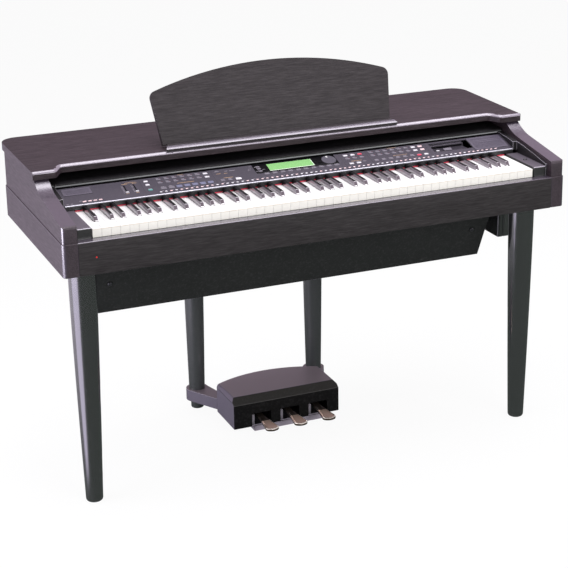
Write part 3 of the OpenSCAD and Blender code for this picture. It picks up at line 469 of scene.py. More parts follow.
# name, colour, roughness, fineness of the texture, how much it varies, relief and coat
plainFinishes = {
    "edge": ("edgeLacquer", (0.045, 0.036, 0.044), 0.34, 700, 0.06, 0.03, gloss),
    # a paler lacquer along the lid's nose: a painted highlight
    "nose": ("noseLacquer", (0.2, 0.175, 0.215), 0.34, 700, 0.05, 0.02, noseCoat),
    "board": ("blackStain", (0.011, 0.0125, 0.0115), 0.5, 700, 0.12, 0.1),
    "cloth": ("speakerFront", (0.0125, 0.0138, 0.0132), 0.5, 1300, 0.1, 0.05, clothSheen),
    "cover": ("coverFilm", (0.008, 0.0075, 0.0085), 0.42, 800, 0.08),
    # painted highlight lines on the key cover
    "coverLip": ("coverLip", (0.27, 0.28, 0.285), 0.4, 800, 0.06, 0.05),
    "faint": ("coverLine", (0.06, 0.06, 0.065), 0.4, 800, 0.08, 0.05),
    "leg": ("charcoalLacquer", (0.011, 0.012, 0.0115), 0.26, 500, 0.05, 0.003, legCoat),
    "rearLeg": ("charcoalLacquerMatt", (0.031, 0.0345, 0.036), 0.36, 500, 0.05, 0.02, rearLegCoat),
    "dark": ("blackPlastic", (0.008, 0.008, 0.009), 0.4, 1400, 0.08, 0.12),
    # key blocks: top painted light as lit, front painted dark as shade; the pale edge finish is a painted
    # highlight
    "block": ("keyBlockTop", (0.1, 0.086, 0.106), 0.4, 1400, 0.05, 0.1),
    "blockShadedFront": ("keyBlockFront", (0.017, 0.0185, 0.018), 0.3, 1400, 0.05, 0.08),
    "edgeHighlight": ("keyBlockEdge", (0.4, 0.37, 0.43), 0.25, 1400, 0.04, 0.02, {"Coat Weight": 0.8}),
    "felt": ("redFelt", (0.82, 0.045, 0.1), 0.95, 2600, 0.16, 0.6, feltNap, 0.0006),
    "white": ("whiteKey", (0.93, 0.92, 0.905), 0.22, 260, 0.01, 0.01),
    # key fronts painted brighter as painted light; the lip's face painted darker as shade
    "keyFront": ("keyFront", (0.96, 0.94, 0.88), 0.3, 260, 0.02, 0.01),
    "keyLip": ("keyLip", (0.8, 0.74, 0.64), 0.3, 260, 0.02, 0.01),
    "black": ("blackKeyTop", (0.012, 0.011, 0.012), 0.4, 420, 0.03, 0.02, {"Specular IOR Level": 0.2}),
    "blackSide": ("blackKeySide", (0.03, 0.026, 0.03), 0.12, 420, 0.03, 0.005, keySideCoat),
    # black keys: left flanks painted light as lit, rear parts painted dark as shade
    "paintedLitSide": ("blackKeyLitSide", (0.3, 0.265, 0.3), 0.16, 420, 0.05, 0.005, keyCoat),
    "keyShade": ("blackKeyRear", (0.009, 0.0085, 0.0095), 0.6, 420, 0.03, 0.02, dull),
    "panel": ("panelPlastic", (0.038, 0.032, 0.047), 0.42, 1500, 0.06, 0.12),
    "grille": ("grillePlastic", (0.085, 0.073, 0.102), 0.46, 1500, 0.06, 0.1),
    "lens": ("screenLens", (0.004, 0.004, 0.005), 0.1, 300, 0.03, 0.0),
    "trim": ("brushedTrim", (0.56, 0.56, 0.62), 0.32, 500, 0.05, 0.05, {"Metallic": 0.5}),
    # the trim's lower face is painted dark as shade
    "trimShade": ("trimUnderside", (0.09, 0.09, 0.1), 0.4, 500, 0.05, 0.05),
    "drive": ("drivePlastic", (0.028, 0.024, 0.034), 0.42, 1400, 0.08, 0.1),
    "dial": ("dialPlastic", (0.07, 0.064, 0.084), 0.38, 1600, 0.06, 0.06),
    "grey": ("greyButton", (0.15, 0.135, 0.165), 0.4, 1600, 0.06, 0.05),
    "pad": ("slateButton", (0.15, 0.155, 0.24), 0.4, 1600, 0.06, 0.05),
    "pale": ("paleButton", (0.66, 0.64, 0.68), 0.38, 1600, 0.03, 0.04),
    "red": ("redButton", (0.62, 0.05, 0.1), 0.38, 1600, 0.04, 0.04),
    "teal": ("tealButton", (0.1, 0.32, 0.29), 0.38, 1600, 0.04, 0.04),
    "rose": ("roseButton", (0.8, 0.6, 0.62), 0.38, 1600, 0.04, 0.04),
    "print": ("paleInk", (0.36, 0.33, 0.37), 0.5, 1600, 0.04, 0.0),
    "tan": ("tanInk", (0.42, 0.27, 0.15), 0.5, 1600, 0.04, 0.0),
    "groove": ("grooveBlack", (0.006, 0.006, 0.007), 0.6, 900, 0.04, 0.05),
    "steel": ("zincSteel", (0.42, 0.42, 0.45), 0.34, 600, 0.1, 0.06, metal),
    "gunmetal": ("gunmetalScrew", (0.1, 0.1, 0.11), 0.3, 600, 0.1, 0.06, {"Metallic": 0.9}),
    "sink": ("blackAnodised", (0.1, 0.1, 0.11), 0.4, 600, 0.1, 0.08, {"Metallic": 0.8}),
    "paint": ("blackPaint", (0.015, 0.015, 0.016), 0.5, 900, 0.1, 0.1),
    "circuit": ("circuitBoard", (0.02, 0.09, 0.035), 0.4, 300, 0.2, 0.2),
    "rubber": ("footRubber", (0.012, 0.012, 0.013), 0.8, 900, 0.1, 0.3),
    # pedal shell: top and ends painted light as lit, front, chamfer and slot walls painted shade, pale edge
    # a painted highlight
    "pedalLitTop": ("pedalShell", (0.145, 0.117, 0.134), 0.4, 1200, 0.06, 0.06),
    "pedalLitEnd": ("pedalShellEnd", (0.1, 0.088, 0.118), 0.4, 1200, 0.06, 0.06),
    "pedalEdgeHighlight": ("pedalShellEdge", (0.7, 0.66, 0.76), 0.35, 1200, 0.06, 0.04),
    "pedalShadedFront": ("pedalShellFront", (0.004, 0.004, 0.004), 0.6, 1200, 0.06, 0.06, dull),
    "pedalShadedBand": ("pedalShellBand", (0.024, 0.0235, 0.021), 0.5, 1200, 0.06, 0.06, satin),
    "skid": ("pedalSkid", (0.36, 0.32, 0.38), 0.4, 1200, 0.08, 0.05),
    "cheek": ("pedalCheek", (0.17, 0.155, 0.18), 0.45, 1200, 0.08, 0.05),
    "brass": ("paleBrass", (0.62, 0.45, 0.36), 0.34, 240, 0.08, 0.02, {"Metallic": 0.6}),
    # painted highlights on the pedals' rims and edges, painted shade on their sides and on their parts under
    # the shell
    "brassRimHighlight": ("paleBrassRim", (1.0, 0.92, 0.83), 0.3, 240, 0.05, 0.01),
    "brassGlint": ("paleBrassGlint", (1.0, 0.9, 0.79), 0.28, 240, 0.05, 0.01, {"Metallic": 0.7}),
    "brassShadedSide": ("paleBrassSide", (0.3, 0.22, 0.17), 0.3, 240, 0.08, 0.02, metal),
    "brassShadow": ("shadedBrass", (0.02, 0.015, 0.012), 0.4, 240, 0.08, 0.02),
}
# name, dim and bright colour, strength, size of the cells, where they turn bright, roughness
glowFinishes = {
    "screen": ("greenScreen", (0.16, 0.35, 0.12), (0.2, 0.42, 0.155), 0.35, 460.0, (0.35, 0.65), 0.25),
    "glassEdge": ("glassEdge", (0.56, 0.644, 0.532), (0.8, 0.92, 0.76), 0.3),
    "redLamp": ("redLamp", (0.49, 0.021, 0.021), (0.7, 0.03, 0.03), 0.35),
    "dimLamp": ("dimLamp", (0.112, 0.014, 0.014), (0.16, 0.02, 0.02), 0.1),
}
makers = {woodMaterial: woodFinishes, plainMaterial: plainFinishes, glowMaterial: glowFinishes}
for maker, table in makers.items():
    for key, values in table.items():
        finish[key] = maker(*values)
print("materials made:", len(finish))


# rounding of the edges (width and steps) of each board
caseSetup = {"boards": (0.0018, 3), "arms": (0.0024, 3), "front": (0.0024, 4), "bed": (0.0008, 1),
             "box": (0.0012, 2), "grille": (0.0022, 3), "rails": (0.0012, 2), "blocks": (0.0015, 3),
             "near": 0.0005, "dullFront": 12}


def makeCase():
    values = caseSetup
    dressNode("side_boards", "case_wood", "caseY", "edge", rounding=values["boards"], edgeSlot=1, paint=(
        (0, lambda face: abs(face.normal.z) > 0.4), (1, cornerFace), (0, lowFront)))
    dressNode("side_arms", "case_wood", "caseY", "edge", rounding=values["arms"], edgeSlot=1, paint=(
        (0, frontEdge), (1, lambda face: face.normal.z > 0.25), (1, cornerFace), (0, lowFront)))
    makeFront()
    makeLid()
    makeBack()
    dressNode("key_bed", "dark_board", "board", rounding=values["bed"])
    dressNode("speaker_box", "dark_board", "board", rounding=values["box"])
    # the rounded upright edges of the speaker front and of the bracket get a painted highlight
    for node, name in (("speaker_grille", "cloth"), ("side_bracket", "leg")):
        dressNode(node, "dark_board", name, "edgeHighlight", rounding=values["grille"], edgeSlot=1, paint=(
            (0, lambda face: abs(face.normal.z) > 0.8 or abs(face.normal.y) > 0.97),))
    # the rails' rounded edges get a painted highlight
    dressNode("cover_rails", "dark_plastic", "cover", "edgeHighlight", rounding=values["rails"], edgeSlot=1)
    # the key blocks' front top rounding gets a painted highlight, the faces below it painted shade, the top
    # a lit tone
    dressNode("key_blocks", "dark_plastic", "block", "edgeHighlight", "blockShadedFront", rounding=values["blocks"],
              edgeSlot=1, paint=((1, lambda face: 0.2 < face.normal.z < 0.97 and face.normal.y < -0.1),
                                 (2, lambda face: face.normal.z < 0.5), (0, anyFace)))
    makeTrim()
    makeCover()
    print("case made")


# only the front board's upper and lower front edges are rounded
def makeFront():
    low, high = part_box("front_board")
    near = caseSetup["near"]

    def frontEdges(edge):
        return (sharpEdge(edge) and most(edge, "y") < low.y + near
                and (least(edge, "z") > high.z - near or most(edge, "z") < low.z + near))

    dressNode("front_board", "case_wood", "front", "edge", paint=((1, lambda face: face.normal.z > 0.4),),
              shape=lambda piece: bevelChosen(piece, *caseSetup["front"], frontEdges))


lidSetup = {"nose": 0.0082, "steps": 6, "profile": 0.42, "soft": 0.0012, "front": 296, "shine": 0.0085,
            "near": 0.0001}


# the lid's front edge is rounded much more than the others
def makeLid():
    values = lidSetup
    lid = copyNode("top_board")
    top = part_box("top_board")[1].z
    front = yf(values["front"])
    mesh = bmesh.new()
    mesh.from_mesh(lid.data)
    weight = mesh.edges.layers.float.new("bevel_weight_edge")
    for edge in mesh.edges:
        nose = least(edge, "z") > top - values["near"] and most(edge, "y") < front
        if sharpEdge(edge, 40):
            edge[weight] = 1.0 if nose else values["soft"] / values["nose"]
    mesh.to_mesh(lid.data)
    mesh.free()
    pick(lid)
    bpy.ops.object.shade_smooth()
    applyModifier(lid, "BEVEL", width=values["nose"], segments=values["steps"], profile=values["profile"],
                  limit_method="WEIGHT", harden_normals=True, use_clamp_overlap=True)
    finishPiece(lid, "case_wood", "caseX", "nose", "caseY", replaces="top_board")
    # a band along the top of the nose is painted lighter as a highlight
    paintFaces(lid, (2, lambda face: abs(face.normal.x) > 0.8), (0, lambda face: face.normal.z < 0.45),
               (1, lambda face: face.center.z > top - values["shine"] and face.normal.y < -0.12
                and face.normal.z < 0.995), (0, anyFace))


# in millimetres: the air slots, and where the screws sit in the back, the speaker box and the key bed
backSetup = {
    "slots": 14, "pitch": 8, "slotX": (-504, 378), "slotZ": (684, 736), "slotWidth": 3, "slotDeep": 5,
    "backX": range(-640, 641, 160), "backZ": (670, 821), "boxX": range(-520, 521, 208), "boxY": (-20, 96),
    "bedX": (-616, -590, 596, 622), "bedY": (120, 200), "rounding": (0.0005, 1), "past": 2}
screwSetup = {"radius": 0.0042, "sunk": 0.0004, "high": 0.0013, "sides": 16, "edge": (0.0005, 1),
              "cross": (0.0024, 0.0004, 0.0006, 0.002)}


# the panel has rows of air slots behind the warm boards and a screw every 160 mm
def makeBack():
    values = backSetup
    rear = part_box("back_panel")[1].y * 1000

    def cutSlots(piece):
        for x in values["slotX"]:
            cutter = addBlock("airSlots", metres(x, rear - values["slotDeep"], values["slotZ"][0]),
                              metres(x + values["slotWidth"], rear + values["past"], values["slotZ"][1]))
            cutAway(piece, rowOf(cutter, values["slots"], metres(values["pitch"], 0, 0)))

    dressNode("back_panel", "dark_board", "board", shape=cutSlots, rounding=values["rounding"])
    makeScrews(rear)


def makeScrews(rear):
    values = screwSetup
    screw = addDrum("screwHead", values["radius"], -values["sunk"], values["high"], vertices=values["sides"])
    bevelEdges(screw, *values["edge"])
    long, wide, floor, top = values["cross"]
    for turn in (0, 90):
        cross = addBlock("screwCross", (-long, -wide, floor), (long, wide, top))
        cutAway(screw, placePiece(cross, Matrix.Rotation(math.radians(turn), 4, "Z")))
    under = [[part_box(node)[0].z * 1000] for node in ("speaker_box", "key_bed")]
    spots = backSetup
    rows = ((spots["backX"], [rear], spots["backZ"], -90), (spots["boxX"], spots["boxY"], under[0], 180),
            (spots["bedX"], spots["bedY"], under[1], 180))
    heads = []
    for xs, ys, zs, turn in rows:
        turned = Matrix.Rotation(math.radians(turn), 4, "X")
        heads += [copyPiece(screw, "backScrew", Matrix.Translation(metres(x, y, z)) @ turned)
                  for x in xs for y in ys for z in zs]
    bpy.data.objects.remove(screw, do_unlink=True)
    finishPiece(joinPieces(heads, "backScrews"), "steel", "gunmetal")


trimSetup = {"rounding": (0.0006, 2), "lip": 0.0016, "feltLine": 0.0014, "feltDark": 0.0013}


# the trim's face below its top lip is painted dark as shade, and the felt's top strip painted black as shade
def makeTrim():
    values = trimSetup
    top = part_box("panel_trim")[1].z - values["lip"]
    dressNode("panel_trim", "trim_metal", "trim", "trimShade", rounding=values["rounding"], paint=(
        (1, lambda face: face.center.z < top), (0, anyFace)))
    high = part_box("felt_strip")[1].z
    dressNode("felt_strip", "felt", "felt", "cover", rounding=values["rounding"],
              shape=lambda felt: cutAcross(felt, (0, 0, high - values["feltLine"]), (0, 0, 1)),
              paint=((1, lambda face: face.center.z > high - values["feltDark"]), (0, anyFace)))


coverSetup = {"lip": (0.0012, 0.0042), "line": (0.0135, 0.0145), "front": 0.012}


# a pale strip just above the panel is a painted highlight on the cover's lip, with a fainter painted
# highlight line higher up
def makeCover():
    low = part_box("key_cover")[0]
    lip, line = coverSetup["lip"], coverSetup["line"]
    front = low.y + coverSetup["front"]

    def cutLines(piece):
        for height in (*lip, *line):
            cutAcross(piece, (0, 0, low.z + height), (0, 0, 1))
        smoothSides(piece)

    dressNode("key_cover", "dark_board", "cover", "coverLip", "faint", body="key_cover", shape=cutLines,
              paint=((1, lambda face: face.center.y < front and lip[0] < face.center.z - low.z < lip[1]),
                     (2, lambda face: line[0] < face.center.z - low.z < line[1]), (0, anyFace)))


restSetup = {"board": (0.0026, 4), "stays": (0.0004, 2), "nose": (0.0022, 3), "noseDeep": 0.004,
             "hinges": 318}


def makeRest():
    values = restSetup
    dressNode("music_rest", "case_wood", "rest", "edge", body="music_rest", rounding=values["board"],
              edgeSlot=1, paint=((0, lowFront),))
    dressNode("rest_stays", "steel", "steel", body="rest_stays", rounding=values["stays"])
    low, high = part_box("rest_ledge")
    deep = values["noseDeep"]
    hinges = yf(values["hinges"])                       # the hinge blocks stand behind the ledge

    def noseEdges(edge):
        return sharpEdge(edge) and most(edge, "y") < low.y + deep and least(edge, "z") > high.z - deep

    dressNode("rest_ledge", "case_wood", "rest", "edge", "steel",
              shape=lambda piece: bevelChosen(piece, *values["nose"], noseEdges), paint=(
                  (2, lambda face: face.center.y > hinges),
                  (1, lambda face: 0.3 < face.normal.z < 0.995 and face.normal.y < -0.1), (0, anyFace)))
    print("music rest made")


legSetup = {"smooth": 40, "plates": (0.0006, 1)}


def makeLegs():
    for node, name in (("front_legs", "leg"), ("rear_legs", "rearLeg")):
        dressNode(node, "leg_lacquer", name, shape=lambda leg: smoothSides(leg, legSetup["smooth"]))
    dressNode("leg_plates", "steel", "steel", rounding=legSetup["plates"])
    print("legs made")


keySetup = {"lip": 0.0026, "undercut": 0.0013, "whiteEdge": (0.0004, 2), "blackEdge": (0.0013, 3),
            "pitch": 0.0235, "spread": 1.024, "fascia": 178, "edgeDeep": 0.014, "shadeDeep": 0.012,
            "shadeSlope": 2.6, "past": 0.01, "near": 0.0004}


def makeWhiteKeys(node):
    low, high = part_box(node)
    pitch, past, near = (keySetup[key] for key in ("pitch", "past", "near"))
    under = high.z - keySetup["lip"]

    def shapeKeys(piece):
        cutAway(piece, addBlock("lipCutter", low - Vector((past, past, past)),
                                (high.x + past, low.y + keySetup["undercut"], under)))
        for point in piece.data.vertices:
            middle = (math.floor(point.co.x / pitch) + 0.5) * pitch
            point.co.x = middle + (point.co.x - middle) * keySetup["spread"]

    # the fronts are painted a brighter cream than the tops as painted light, the lip's face darker beige as
    # painted shade
    dressNode(node, "white_key", "white", "keyFront", "keyLip", body=node, shape=shapeKeys, limit=30,
              rounding=keySetup["whiteEdge"], paint=(
                  (1, lambda face: face.center.z < under + near / 2 and face.normal.y < -0.9),
                  (2, lambda face: face.center.y < low.y + near and face.normal.y < -0.9), (0, anyFace)))


def makeBlackKeys(node):
    values = keySetup
    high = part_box(node)[1].z
    fascia = yf(values["fascia"])
    bed = Vector((0, fascia, high - values["shadeDeep"]))
    slope = Vector((0, 1, values["shadeSlope"])).normalized()

    def upperEdges(edge):
        return (sharpEdge(edge, 20) and least(edge, "y") < fascia
                and least(edge, "z") > high - values["edgeDeep"])

    # painted shade behind the slope, a painted lit tone on the left flanks and a painted highlight on the
    # front right corners
    dressNode(node, "black_key", "black", "blackSide", "paintedLitSide", "keyShade", "edgeHighlight", body=node,
              shape=lambda key: cutAcross(bevelChosen(key, *values["blackEdge"], upperEdges), bed, slope),
              paint=(
                  (3, lambda face: (face.center - bed).dot(slope) > 0),
                  (2, lambda face: face.normal.x < -0.55),
                  (4, lambda face: face.normal.x > 0.25 and face.normal.y < -0.25 and face.normal.z > 0.2),
                  (1, lambda face: face.normal.x > 0.55 or face.normal.y < -0.35)))


def makeKeys():
    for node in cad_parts:
        if node.startswith("keys_"):
            (makeBlackKeys if node.endswith("sharp") else makeWhiteKeys)(node)
    print("keys made")


# the panel's own millimetres: x across, v up the slope, and the height over its face
panelSetup = {"foot": (180, 771), "tilt": 15.5, "rounding": (0.0003, 1), "fascia": -0.6, "stemTop": -6.5,
              "buttonEdge": (0.0005, 2), "stemLift": 0.3, "ink": 0.16}
panelPlace = (Matrix.Translation((0, yf(panelSetup["foot"][0]), panelSetup["foot"][1] / 1000))
              @ Matrix.Rotation(math.radians(panelSetup["tilt"]), 4, "X"))


def panelPoint(point):
    return panelPlace.inverted() @ Vector(point) * 1000


# a small upright block on the panel
def panelBar(x, v, width, deep, height=panelSetup["ink"], base=0.0):
    return addBlock("bar", metres(x - width / 2, v - deep / 2, base),
                    metres(x + width / 2, v + deep / 2, base + height))


def panelRow(x, v, width, deep, count=1, step=0.0, height=panelSetup["ink"], base=0.0):
    return rowOf(panelBar(x, v, width, deep, height, base), count, metres(step, 0, 0))


def panelGroup(pieces, name, slotName, finishName, body="case", edge=0.0):
    piece = joinPieces(pieces, name)
    if edge:
        bevelEdges(piece, edge, 2)
    placePiece(piece, panelPlace)
    return finishPiece(piece, slotName, finishName, body=body)


# pressed buttons stop just above the circuit board
def shortenStems(piece):
    lift = panelPlace.to_3x3() @ Vector(metres(0, 0, panelSetup["stemLift"]))
    for vertex in piece.data.vertices:
        if panelPoint(vertex.co).z < panelSetup["stemTop"]:
            vertex.co += lift
    return piece


# where the groups of buttons start and end, and the lines between their rows
buttonSetup = {"pitch": 21.25, "sliders": -500, "switches": -395, "styles": -370.6, "songs": 157,
               "songsEnd": 215, "voices": 232.6, "pads": 35, "switchLine": 40, "songLine": 60, "front": -383,
               "frontPitch": 13.85, "capFrom": 1.25, "capInset": 0.0007, "capRaise": (0, -0.0001, 0.0003),
               "capEdge": (0.0003, 1)}


def column(point, start):
    return round((point.x - buttonSetup[start]) / buttonSetup["pitch"])


def styleFinish(point):
    if point.x < buttonSetup["sliders"]:
        return 4
    if point.x < buttonSetup["switches"]:
        return 2 if point.y > buttonSetup["switchLine"] else 3
    place = column(point, "styles")
    if point.y < buttonSetup["pads"]:
        return 0 if place < 2 else 1
    return 2 if place == 6 else 0


def voiceFinish(point):
    lowest = point.y < buttonSetup["pads"]
    if point.x < buttonSetup["songsEnd"]:
        upper = (1, 1, 2)[min(column(point, "songs"), 2)]
        return 1 if lowest else (0 if point.y < buttonSetup["songLine"] else upper)
    place = column(point, "voices")
    if lowest:
        return {6: 2, 7: 1}.get(place, 0)
    return {6: 1, 7: 3}.get(place, 0)


def functionFinish(point):
    if point.z <= buttonSetup["capFrom"]:
        return 2
    step = round((point.x - buttonSetup["front"]) / buttonSetup["frontPitch"])
    return 0 if (step * 7 + step // 3) % 5 in (0, 2) else 1


# the small caps of the front row are a step narrower than the buttons that carry them
def raiseCaps(piece):
    shortenStems(piece)
    startEdit(piece)
    selectBy(piece, "FACE", lambda face: face.normal.z > 0.9)
    bpy.ops.mesh.inset(thickness=buttonSetup["capInset"], use_individual=True)
    bpy.ops.mesh.extrude_region_move(TRANSFORM_OT_translate={"value": buttonSetup["capRaise"]})
    endEdit(piece)


def paintButtons(node, pickFinish, *names, shape=shortenStems, rounding=panelSetup["buttonEdge"]):
    piece = dressNode(node, "button_plastic", *names, body=node, shape=shape, rounding=rounding)
    for face in piece.data.polygons:
        face.material_index = pickFinish(panelPoint(face.center))


# over the two rows of buttons: x, width and count of the labels, and x and count of the lamps
rowSetup = {"rows": (68.4, 51.6), "above": 5.6, "label": 1.1, "lamp": (2.2, 1.5), "lampHeight": 0.5,
            "labels": ((-372.6, 8, 7), (231, 9, 8), (155.5, 8, 3)),
            "lamps": ((-364.5, 7), (239.5, 8), (163.5, 3))}
# each mark: x, v, width, depth, and the count and step of a row of them
markSetup = {
    "pale": ((-405.5, 71.6, 9, 1.1), (-405.5, 54.6, 9, 1.1), (-405.5, 30, 10, 1.1), (-211, 73.2, 7, 1.1),
             (-370.6, 32.4, 9, 1.1, 2, 21.25), (156, 31.6, 9, 1.1, 3, 21.25),
             (232.6, 31.6, 10, 1.1, 8, 21.25), (-211, 70, 12, 1.3), (-186, 68, 8, 1.3),
             (-169, 67.2, 15, 1.3), (-209, 31, 9, 1.1, 3, 21), (-627, 5.6, 5, 1.4), (-616, 5.6, 5, 1.4),
             (-591, 14.2, 7, 1.1, 4, 13.85), (-84, 35, 12, 0.9, 10, 22.2), (-376, 13.4, 5, 0.9, 36, 27.7)),
    "tan": ((-462, 66, 16, 1.8), (-436, 66, 12, 1.8), (-446, 71, 30, 1.3), (-467, 20.5, 9, 1.3),
            (-440, 20.5, 9, 1.3), (-306, 39.5, 46, 1.6), (-308, 79, 16, 1.2), (-209.5, 59, 12, 1.6),
            (-190, 57.5, 9, 1.6), (-190, 36, 26, 1.8), (177, 38, 30, 1.6), (307, 38.4, 42, 1.3),
            (300, 79, 26, 1.2)),
    "scales": ((-472, 5), (-446.5, 4)), "scaleFoot": 26, "scaleStep": 6.2, "scaleLines": (1.2, 0.8),
    "seams": (-226, -421, 140, 218, 396), "seam": (43, 0.5, 74, 0.1),
    "autoPads": (-209, -189), "autoPad": (24.5, 11, 6, 1.1), "startPad": (-166.2, 24.5, 15, 9, 1.1),
    "lampEdge": 0.0001, "autoEdge": 0.0004, "startEdge": 0.0005,
}


# generic marks beside the controls: short bars of pale and tan ink, with no words in them
def makeMarks():
    values, rows, pitch = markSetup, rowSetup, buttonSetup["pitch"]
    pale, lamps = [], []
    for v in rows["rows"]:
        v += rows["above"]
        pale += [panelRow(x, v, width, rows["label"], count, pitch) for x, width, count in rows["labels"]]
        lamps += [panelRow(x, v, *rows["lamp"], count, pitch, rows["lampHeight"])
                  for x, count in rows["lamps"]]
    for i in range(6):                                  # the scales beside the two sliders
        v = values["scaleFoot"] + values["scaleStep"] * i
        pale += [panelRow(x, v, width, values["scaleLines"][i % 2]) for x, width in values["scales"]]
    pale += [panelRow(*mark) for mark in values["pale"]]
    panelGroup(pale, "paleMarks", "button_plastic", "print")
    panelGroup([panelRow(*mark) for mark in values["tan"]], "tanMarks", "button_plastic", "tan")
    panelGroup(lamps, "rowLamps", "lamp_lens", "dimLamp", edge=values["lampEdge"])
    seams = [panelBar(x, *values["seam"]) for x in values["seams"]]
    panelGroup(seams, "panelSeams", "dark_plastic", "groove")
    pads = [panelBar(x, *values["autoPad"]) for x in values["autoPads"]]
    panelGroup(pads, "autoPads", "button_plastic", "grey", edge=values["autoEdge"])
    pads = [panelBar(*values["startPad"])]
    panelGroup(pads, "startPad", "button_plastic", "pale", edge=values["startEdge"])


# plates: name, left, right, lower and upper edge; seats: x, v, width, depth and height
grilleSetup = {"cell": 2.6, "hole": 0.24, "deep": 0.55, "rim": 2, "height": 0.95, "foot": 0.02,
               "plates": (("leftPlate", -626, -551.5, 44, 74), ("rightPlate", 528.5, 631, 14, 55.4),
                          ("ridgePlate", 528.5, 631, 56.6, 77)),
               "seats": ((-588.7, 59, 76.4, 31.8, 0.12), (579.7, 45.5, 104.4, 64.8, 0.12))}


# a pierced plate: a fine grid whose cells, all but the rim, are inset and sunk
def grillePlate(name, x0, x1, v0, v1):
    values = grilleSetup
    cell = values["cell"]
    clearSelection()
    across, up = round((x1 - x0) / cell), round((v1 - v0) / cell)
    bpy.ops.mesh.primitive_grid_add(x_subdivisions=across, y_subdivisions=up, size=1,
                                    location=metres((x0 + x1) / 2, (v0 + v1) / 2, values["height"]))
    bpy.context.object.scale = (*metres(x1 - x0, v1 - v0), 1)
    plate = nameNew(name)
    rim = values["rim"] * cell
    left, right, lower, upper = metres(x0 + rim, x1 - rim, v0 + rim, v1 - rim)
    startEdit(plate)
    selectBy(plate, "FACE", lambda face: left < face.calc_center_median().x < right
             and lower < face.calc_center_median().y < upper)
    bpy.ops.mesh.inset(thickness=values["hole"] * cell / 1000, use_individual=True)
    bpy.ops.mesh.extrude_region_move(TRANSFORM_OT_translate={"value": metres(0, 0, -values["deep"])})
    selectBy(plate, "EDGE", lambda edge: len(edge.link_faces) == 1)
    down = metres(0, 0, values["foot"] - values["height"])
    bpy.ops.mesh.extrude_region_move(TRANSFORM_OT_translate={"value": down})
    bpy.ops.mesh.edge_face_add()
    bpy.ops.mesh.select_all(action="SELECT")
    bpy.ops.mesh.normals_make_consistent(inside=False)
    return endEdit(plate)


def makeGrilles():
    values = grilleSetup
    piece = joinPieces([grillePlate(*plate) for plate in values["plates"]], "pierced_grilles")
    placePiece(piece, panelPlace)
    finishPiece(piece, "panel_plastic", "grille", replaces="panel_grilles")
    panelGroup([panelBar(*seat) for seat in values["seats"]], "grilleSeats", "dark_plastic", "groove")


# the lit glass by its middle and half sizes; its bright edges; the labels by x, v and width
displaySetup = {"rounding": (0.0003, 1), "glass": (-7, 58, 63.4, 16.9), "glassTop": 0.9,
                "edges": ((-7, 41.9, 126.6, 1.7, 0.5, 0.55), (55.6, 58, 1.4, 33, 0.5, 0.55)),
                "labels": ((-118, 72.4, 7), (-98, 61.5, 12), (-122, 61.5, 8), (-100, 46, 18),
                           (-125, 55.5, 6), (-100, 66.5, 15), (-86, 51.5, 8)),
                "labelDeep": 0.9, "labelBase": 1.0, "glassEdge": 0.0003}


def makeDisplay():
    values = displaySetup
    x, v, wide, deep = values["glass"]

    def onGlass(face):
        point = panelPoint(face.center)
        return abs(point.x - x) < wide and abs(point.y - v) < deep and point.z < values["glassTop"]

    dressNode("display", "screen_lens", "lens", "screen", rounding=values["rounding"],
              paint=((1, onGlass), (0, anyFace)))
    edges = [panelBar(*edge) for edge in values["edges"]]
    panelGroup(edges, "screenGlass", "screen_lens", "glassEdge", edge=values["glassEdge"])
    labels = [panelRow(*label, values["labelDeep"], base=values["labelBase"]) for label in values["labels"]]
    panelGroup(labels, "screenLabels", "button_plastic", "print")


dialSetup = {"rounding": (0.0006, 2), "place": (104.5, 59), "radius": 19.4, "ribs": 60,
             "rib": (0.8, 0.9, 0.9), "ribHeight": 0.75, "mark": (-1, 14.8), "markRadius": 3.1,
             "markHeight": (0.4, 0.9), "markSides": 24, "markEdge": (0.0002, 2)}


def makeDial():
    values = dialSetup
    x, v = values["place"]
    dressNode("data_dial", "button_plastic", "dial", body="data_dial", rounding=values["rounding"])
    clearSelection()
    bpy.ops.mesh.primitive_cube_add(size=1, location=metres(values["radius"], 0, values["ribHeight"]),
                                    scale=metres(*values["rib"]))
    rib = nameNew("dialRibs")
    startEdit(rib)
    bpy.ops.mesh.spin(dupli=True, steps=values["ribs"], angle=2 * math.pi, center=(0, 0, 0), axis=(0, 0, 1))
    bpy.ops.mesh.remove_doubles(threshold=0.00001)
    placePiece(endEdit(rib), panelPlace @ Matrix.Translation(metres(x, v, 0)))
    finishPiece(rib, "button_plastic", "dial", body="data_dial")
    # a white disc in the dial's dimple is a painted highlight
    mark = addDrum("dialGlint", *metres(values["markRadius"], *values["markHeight"]),
                   metres(x + values["mark"][0], v + values["mark"][1]), values["markSides"])
    bevelEdges(mark, *values["markEdge"])
    placePiece(mark, panelPlace)
    finishPiece(mark, "button_plastic", "white", body="data_dial")


sliderSetup = {"rounding": (0.0005, 2), "line": (8.2, 1.0), "lineUp": 0.3, "lineBase": 2.44}


def makeSliders():
    values = sliderSetup
    for node in ("volume_slider", "balance_slider"):
        dressNode(node, "dark_plastic", "pale", body=node, rounding=values["rounding"])
        middle = sum((panelPoint(corner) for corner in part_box(node)), Vector()) / 2
        line = panelBar(middle.x, middle.y + values["lineUp"], *values["line"], base=values["lineBase"])
        panelGroup([line], node + "_line", "button_plastic", "groove", body=node)


# lines and plate by x from the drive's left end, v, width, depth, height and base
driveSetup = {"drive": (0.0006, 2), "eject": (0.0004, 2), "plate": (43, 38.5, 24, 12, 0.7, -0.9),
              "lines": ((50, 62.6, 96, 0.9, 0.4, -0.7), (50, 69.4, 100, 0.5, 0.2, -0.75)),
              "plateEdge": 0.0003}


